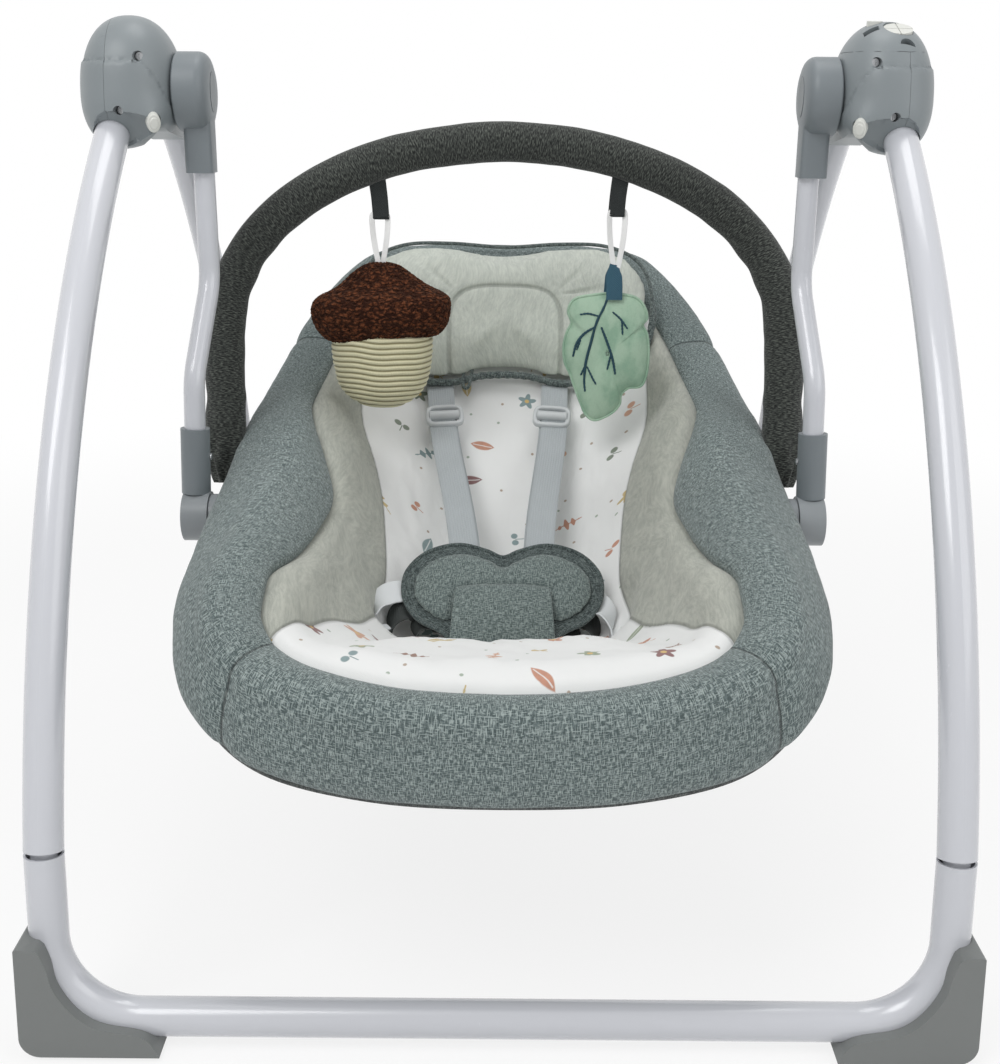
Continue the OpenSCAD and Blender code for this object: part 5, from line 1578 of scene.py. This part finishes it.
def build_housings():
    """The two swing housings: the CAD shells split finer, their outer skin moved on to the smooth dome, with a raised
    lower panel under a crease that runs level and then drops towards the arm."""
    for sx, side in ((-1, "left"), (1, "right")):
        names = {f"hub_{part}_shell_{side}": f"hub_{part}_housing_{side}" for part in ("outer", "inner")}
        if sx > 0:
            names["control_panel"] = "panel_housing"
        for node, name in names.items():
            o = merged(node, name)
            split_finer(o)
            q = points_of(o) * [sx, 1, 1] - HUB_CENTRE
            r = np.linalg.norm(q, axis=1)
            d = q / np.maximum(r, 1e-9)[:, None]
            new = skin = hub_radius(d)
            if node != "control_panel":
                over = q[:, 2] - (CREASE_AT - 0.075 * np.maximum(0, -q[:, 0] - 11) ** 2)
                front = smooth_step(14, -6, q[:, 1])
                new = skin + (1.3 * smooth_step(0.9, -0.9, over) - 0.5 * hump(over - 1.0, 1.1)) * front
            on = smooth_step(1.5, 1.0, skin - r) * (skin - r > -0.4)
            place_points(o, (d * (r + (new - r) * on)[:, None] + HUB_CENTRE) * [sx, 1, 1])
            finish_copy(o, node, "front_frame", MADE["hub"], 38)


# Share of the button's half width, and height over its seat
BUTTON_PROFILE = [
    (0.02, 4.0), (0.35, 4.0), (0.55, 3.9), (0.62, 3.5), (0.68, 3.1), (0.8, 3.1), (0.9, 2.9), (0.97, 2.3), (1, 1.4),
    (1, -6.5), (0.9, -6.6),
]


def build_buttons():
    """Oval release buttons with a raised inner oval."""
    out = unit(unit(BUTTON_AT - HUB_CENTRE) * 0.55 + unit(np.array([-0.25, -1, -0.15])) * 0.45)
    u = unit(np.cross([0, 0, 1.0], out))
    v = np.cross(out, u)
    a = circle(64)[None]
    prof = spline(BUTTON_PROFILE, 60)
    k, h = prof[:, :1], prof[:, 1:]
    across, along, over = k * 4.9 * np.cos(a), k * 6.9 * np.sin(a), h + 0 * a
    g = BUTTON_AT + out * 10.5 + across[..., None] * u + along[..., None] * v + over[..., None] * out
    for sx, side in ((-1, "left"), (1, "right")):
        node = f"fold_button_{side}"
        s = Shape().add(g * [sx, 1, 1], caps=True)
        finish = MADE["button"]
        s.make(f"release_button_{side}", f"fold_button_{side[0]}", "button_white", finish, replaces=[node], sharp=50)


def build_covers():
    """The arm caps and the front corner covers with rounded edges."""
    for side in ("left", "right"):
        node = f"arm_cap_{side}"
        eased(node, node + "_eased", "swing_arms", "arm", 1.5, 1.1, 42)
    for side in ("left", "right"):
        node = f"front_corner_cover_{side}"
        eased(node, node + "_eased", "front_frame", "cover", 1.5, 0.9, 42)


BARREL_TOP = 0.2975  # height of the joint between a sleeve and its barrel, in metres


def build_sleeves():
    """Arm sleeves with a paler pivot barrel below, and in front a narrow dark piece painted as the shade of a slot."""
    for side in ("left", "right"):
        name = f"pivot_sleeve_{side}"
        o = eased(f"arm_sleeve_{side}", name, "swing_arms", "arm", 1.0, 0.7, 50)
        o.data.materials.append(MADE["barrel"])
        centres = np.zeros(len(o.data.polygons) * 3)
        o.data.polygons.foreach_get("center", centres)
        low = centres.reshape(-1, 3)[:, 2] < BARREL_TOP
        o.data.polygons.foreach_set("material_index", low.astype(np.int32))
    # painted shade: a thin dark piece on each sleeve's face stands for the shaded inside of its slot
    s = Shape()
    for sx in (-1, 1):
        path = spline([(sx * 233.5, -60.2, 302), (sx * 233.5, -60.2, 312), (sx * 233.5, -60.2, 323)], 20)
        taper = lookup([(0, 0.2), (0.1, 1), (0.9, 1), (1, 0.2)], np.linspace(0, 1, 20))
        s.add(sweep(path, ring_section(1.3, 0.6, 12, 3.0) * taper[:, None, None], (1, 0, 0)), caps=True)
    s.make("sleeve_slots", "swing_arms", "arm_plastic", moulded("slot_dark", srgb(52, 56, 58), 0.6, 0.3))


# ---------- stage ----------


LENS = 47.3684  # millimetres, on a sensor 36 mm wide
CAMERA_AT = (0.0, -1.089, 0.587)
CAMERA_DIP, CAMERA_ROLL = 17.3, 0.5  # degrees
FLOOR_HALF = 14.0


def node_of(tree, kind, *values):
    """A new node with its first inputs set."""
    n = tree.nodes.new(kind)
    for socket, value in zip(n.inputs, values):
        socket.default_value = value
    return n


def seen_rays(tree):
    """1 for rays that reach the viewer straight, in gloss or through a clear part."""
    rays = tree.nodes.new("ShaderNodeLightPath").outputs
    straight, gloss, through = (Sock(tree, rays[f"Is {kind} Ray"]) for kind in ("Camera", "Glossy", "Transmission"))
    return straight.math("MAXIMUM", gloss).math("MAXIMUM", through)


def mix_to(tree, kind, share, first, second):
    """Mixes two shaders by share and links them to a new output node of the given kind."""
    mix = tree.nodes.new("ShaderNodeMixShader")
    for value, socket in zip((share.link, first.outputs[0], second.outputs[0]), mix.inputs):
        tree.links.new(value, socket)
    tree.links.new(mix.outputs[0], tree.nodes.new(kind).inputs[0])


def build_stage(studio):
    """Camera, floor, world and lamps."""
    sc = bpy.context.scene
    cam = bpy.data.cameras.new("Camera")
    cam.sensor_width, cam.sensor_fit = 36.0, "AUTO"
    cam.lens = LENS
    cam.shift_x = -0.003
    cam.clip_start, cam.clip_end = 0.05, 30
    o = bpy.data.objects.new("Camera", cam)
    sc.collection.objects.link(o)
    o.location = CAMERA_AT
    tilt, roll = np.radians(90 - CAMERA_DIP), np.radians(CAMERA_ROLL)
    o.rotation_mode = "QUATERNION"
    o.rotation_quaternion = (Matrix.Rotation(tilt, 4, "X") @ Matrix.Rotation(roll, 4, "Z")).to_quaternion()
    sc.camera = o
    sc.view_settings.view_transform = "Standard"

    # floor: plain pale; rays that reach the viewer find it near white, and the object's shadow stays
    floor_finish = Finish("floor")
    tree = floor_finish.tree
    fade = (floor_finish.at.part(0) ** 2.0 + floor_finish.at.part(1) ** 2.0) ** 0.5
    share = seen_rays(tree) * (fade.step(0.75, 1.6) * 0.18 + 0.82)
    pale = node_of(tree, "ShaderNodeBsdfDiffuse", (0.93, 0.93, 0.93, 1))
    mix_to(tree, "ShaderNodeOutputMaterial", share, pale, node_of(tree, "ShaderNodeEmission", (1, 1, 1, 1), 1.0))
    floor_finish.mat.cycles.emission_sampling = "NONE"
    me = bpy.data.meshes.new("floor")
    r = FLOOR_HALF
    me.from_pydata([(-r, -r, 0), (r, -r, 0), (r, r, 0), (-r, r, 0)], [], [(0, 1, 2, 3)])
    floor = bpy.data.objects.new("floor", me)
    sc.collection.objects.link(floor)
    me.materials.append(floor_finish.mat)

    sc.world = world = bpy.data.worlds.new("studio")
    world.use_nodes = True
    tree = world.node_tree
    tree.nodes.clear()
    lit, white = (node_of(tree, "ShaderNodeBackground", (1, 1, 1, 1), strength) for strength in (0.42, 1.0))
    mix_to(tree, "ShaderNodeOutputWorld", seen_rays(tree), lit, white)

    for name, place, aim, size in (
        ("key", (-1.1, -1.5, 2.3), (0, 0, 0.25), 1.3),
        ("fill", (1.7, -1.3, 1.5), (0, 0, 0.3), 1.6),
        ("top", (0.1, 0.3, 2.6), (0, 0, 0.3), 1.2),
    ):
        lamp = bpy.data.lights.new(name, "AREA")
        lamp.size, lamp.energy = size, getattr(studio, name)
        lo = bpy.data.objects.new(name, lamp)
        sc.collection.objects.link(lo)
        lo.location = place
        lo.rotation_euler = (Vector(aim) - Vector(place)).to_track_quat("-Z", "Y").to_euler()


# ---------- the add-on ----------


def length_of(name, default, description):
    """A length property, in metres."""
    return bpy.props.FloatProperty(name=name, description=description, default=default, min=0.0, unit="LENGTH")


def colour_of(name, red, green, blue):
    """A colour property with a default of 0 to 255."""
    return bpy.props.FloatVectorProperty(
        name=name, description=f"Colour of the {name.lower()}", default=srgb(red, green, blue)[:3], subtype="COLOR",
        size=3, min=0.0, max=1.0,
    )


def power_of(name, default):
    """A lamp's power property, in watts."""
    return bpy.props.FloatProperty(
        name=name, description=f"Power of the {name.lower()}", default=default, min=0.0, unit="POWER",
    )


class SwingSizes(bpy.types.PropertyGroup):
    """Sizes that a user would change"""

    ring_swell: length_of("Ring swell", 0.008, "How far the ring's face stands over its seams")
    lining: length_of("Lining", 0.0025, "How far the liner stands over the seat's shell")
    pillow_crown: length_of("Pillow crown", 0.015, "How far the pillow's middle stands over its seam")
    pad_crown: length_of("Heart pad crown", 0.0085, "How far the heart pad's middle stands over its edge")
    strap_width: length_of("Shoulder strap width", 0.024, "Width of the shoulder straps")
    wale_pitch: length_of("Wale pitch", 0.0046, "Distance from wale to wale of the acorn's corduroy")


class SwingColours(bpy.types.PropertyGroup):
    """Colours that a user would change"""

    melange: colour_of("Melange", 112, 124, 124)
    melange_dark: colour_of("Melange's dark fibres", 78, 90, 90)
    melange_light: colour_of("Melange's light fibres", 164, 175, 172)
    charcoal: colour_of("Charcoal cloth", 60, 65, 64)
    cotton: colour_of("White cotton", 238, 239, 238)
    plush: colour_of("Plush", 188, 190, 180)
    # painted shade between the tufts of the liner's plush
    plush_tuft_shade: colour_of("Plush's painted shade between the tufts", 160, 163, 155)
    pillow: colour_of("Pillow", 212, 217, 207)
    # painted shade between the tufts of the pillow's plush
    pillow_tuft_shade: colour_of("Pillow's painted shade between the tufts", 186, 192, 184)
    pad: colour_of("Heart pad", 106, 118, 116)
    webbing: colour_of("Webbing", 172, 178, 181)
    bar: colour_of("Toy bar", 78, 82, 78)
    teddy: colour_of("Teddy curls", 130, 77, 50)
    # painted shade between the teddy's curls
    teddy_hollow_shade: colour_of("Teddy's painted shade between the curls", 50, 25, 15)
    corduroy: colour_of("Corduroy ridges", 222, 217, 184)
    # painted shade in the corduroy's grooves
    corduroy_groove_shade: colour_of("Painted shade in the corduroy grooves", 146, 140, 108)
    leaf: colour_of("Leaf", 178, 205, 182)
    leaf_dark: colour_of("Leaf's shaded pile", 150, 184, 160)
    enamel: colour_of("Tube enamel", 206, 208, 214)
    hub: colour_of("Housings", 133, 140, 143)
    arm: colour_of("Arm caps and sleeves", 121, 128, 132)
    cover: colour_of("Corner covers", 124, 127, 126)
    button: colour_of("Buttons", 219, 220, 214)


class SwingStudio(bpy.types.PropertyGroup):
    """Power of the lamps"""

    key: power_of("Key lamp", 27.0)
    fill: power_of("Fill lamp", 11.0)
    top: power_of("Top lamp", 14.0)


class SWING_OT_stage(bpy.types.Operator):
    """Adds the camera, the floor, the world and the lamps"""

    bl_idname = "swing.stage"
    bl_label = "Stage"

    def execute(self, context):
        build_stage(context.scene.swing_studio)
        return {"FINISHED"}


class SWING_OT_frame_finishes(bpy.types.Operator):
    """Gives the frame's tubes, pads and small parts their finishes"""

    bl_idname = "swing.frame_finishes"
    bl_label = "Frame finishes"

    def execute(self, context):
        dress_nodes(context.scene.swing_colours)
        return {"FINISHED"}


class SWING_OT_housings(bpy.types.Operator):
    """Adds the two swing housings and the control panel"""

    bl_idname = "swing.housings"
    bl_label = "Housings"

    def execute(self, context):
        build_housings()
        return {"FINISHED"}


class SWING_OT_buttons(bpy.types.Operator):
    """Adds the oval release buttons"""

    bl_idname = "swing.buttons"
    bl_label = "Release buttons"

    def execute(self, context):
        build_buttons()
        return {"FINISHED"}


class SWING_OT_covers(bpy.types.Operator):
    """Adds the arm caps and the front corner covers"""

    bl_idname = "swing.covers"
    bl_label = "Caps and covers"

    def execute(self, context):
        build_covers()
        return {"FINISHED"}


class SWING_OT_sleeves(bpy.types.Operator):
    """Adds the arm sleeves and the dark pieces painted as the shade of their slots"""

    bl_idname = "swing.sleeves"
    bl_label = "Arm sleeves"

    def execute(self, context):
        build_sleeves()
        return {"FINISHED"}


class SWING_OT_ring(bpy.types.Operator):
    """Adds the seat's padded ring"""

    bl_idname = "swing.ring"
    bl_label = "Padded ring"

    def execute(self, context):
        scene = context.scene
        build_seat_ring(scene.swing_sizes, scene.swing_colours)
        return {"FINISHED"}


class SWING_OT_liner(bpy.types.Operator):
    """Adds the plush liner and its cotton band"""

    bl_idname = "swing.liner"
    bl_label = "Liner"

    def execute(self, context):
        scene = context.scene
        build_liner(scene.swing_sizes, scene.swing_colours)
        return {"FINISHED"}


class SWING_OT_under_bag(bpy.types.Operator):
    """Adds the bag under the seat"""

    bl_idname = "swing.under_bag"
    bl_label = "Under-bag"

    def execute(self, context):
        build_under_bag(context.scene.swing_colours)
        return {"FINISHED"}


class SWING_OT_pillow(bpy.types.Operator):
    """Adds the head pillow"""

    bl_idname = "swing.pillow"
    bl_label = "Pillow"

    def execute(self, context):
        scene = context.scene
        build_pillow(scene.swing_sizes, scene.swing_colours)
        return {"FINISHED"}


class SWING_OT_shoulder_straps(bpy.types.Operator):
    """Adds the shoulder straps"""

    bl_idname = "swing.shoulder_straps"
    bl_label = "Shoulder straps"

    def execute(self, context):
        scene = context.scene
        build_shoulder_straps(scene.swing_sizes, scene.swing_colours)
        return {"FINISHED"}


class SWING_OT_waist_straps(bpy.types.Operator):
    """Adds the waist straps and the middle strap"""

    bl_idname = "swing.waist_straps"
    bl_label = "Waist straps"

    def execute(self, context):
        build_waist_straps()
        return {"FINISHED"}


class SWING_OT_adjusters(bpy.types.Operator):
    """Adds the strap adjusters"""

    bl_idname = "swing.adjusters"
    bl_label = "Adjusters"

    def execute(self, context):
        build_adjusters()
        return {"FINISHED"}


class SWING_OT_heart_pad(bpy.types.Operator):
    """Adds the padded flap over the buckle"""

    bl_idname = "swing.heart_pad"
    bl_label = "Heart pad"

    def execute(self, context):
        scene = context.scene
        build_heart_pad(scene.swing_sizes, scene.swing_colours)
        return {"FINISHED"}


class SWING_OT_toy_bar(bpy.types.Operator):
    """Adds the padded toy bar"""

    bl_idname = "swing.toy_bar"
    bl_label = "Toy bar"

    def execute(self, context):
        build_toy_bar(context.scene.swing_colours)
        return {"FINISHED"}


class SWING_OT_tapes(bpy.types.Operator):
    """Adds the tape loops and the ribbons that carry the toys"""

    bl_idname = "swing.tapes"
    bl_label = "Toy tapes"

    def execute(self, context):
        build_tabs()
        build_ribbons()
        return {"FINISHED"}


class SWING_OT_acorn(bpy.types.Operator):
    """Adds the soft acorn"""

    bl_idname = "swing.acorn"
    bl_label = "Acorn toy"

    def execute(self, context):
        scene = context.scene
        build_acorn_cap(scene.swing_colours)
        build_acorn_cup(scene.swing_sizes, scene.swing_colours)
        return {"FINISHED"}


class SWING_OT_leaf(bpy.types.Operator):
    """Adds the soft leaf"""

    bl_idname = "swing.leaf"
    bl_label = "Leaf toy"

    def execute(self, context):
        build_leaf(context.scene.swing_colours)
        return {"FINISHED"}


class SWING_PT_panel(bpy.types.Panel):
    """Lists the swing's pieces, sizes, colours and lamps"""

    bl_idname = "SWING_PT_panel"
    bl_label = "Baby swing"
    bl_space_type = "VIEW_3D"
    bl_region_type = "UI"
    bl_category = "Baby swing"

    def draw(self, context):
        for op in OPERATORS:
            self.layout.operator(op.bl_idname)
        for group in GROUPS:
            for name in GROUPS[group].__annotations__:
                self.layout.prop(getattr(context.scene, group), name)


OPERATORS = (
    SWING_OT_stage, SWING_OT_frame_finishes, SWING_OT_housings, SWING_OT_buttons, SWING_OT_covers, SWING_OT_sleeves,
    SWING_OT_ring, SWING_OT_liner, SWING_OT_under_bag, SWING_OT_pillow, SWING_OT_shoulder_straps,
    SWING_OT_waist_straps, SWING_OT_adjusters, SWING_OT_heart_pad, SWING_OT_toy_bar, SWING_OT_tapes, SWING_OT_acorn,
    SWING_OT_leaf,
)
GROUPS = {"swing_sizes": SwingSizes, "swing_colours": SwingColours, "swing_studio": SwingStudio}
CLASSES = (*GROUPS.values(), *OPERATORS, SWING_PT_panel)


def register():
    for c in CLASSES:
        bpy.utils.register_class(c)
    for name, group in GROUPS.items():
        setattr(bpy.types.Scene, name, bpy.props.PointerProperty(type=group))


def unregister():
    for name in GROUPS:
        delattr(bpy.types.Scene, name)
    for c in reversed(CLASSES):
        bpy.utils.unregister_class(c)


def main():
    """Registers the add-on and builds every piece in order."""
    register()
    for op in OPERATORS:
        getattr(bpy.ops.swing, op.bl_idname.split(".")[1])()


if __name__ == "__main__":
    main()
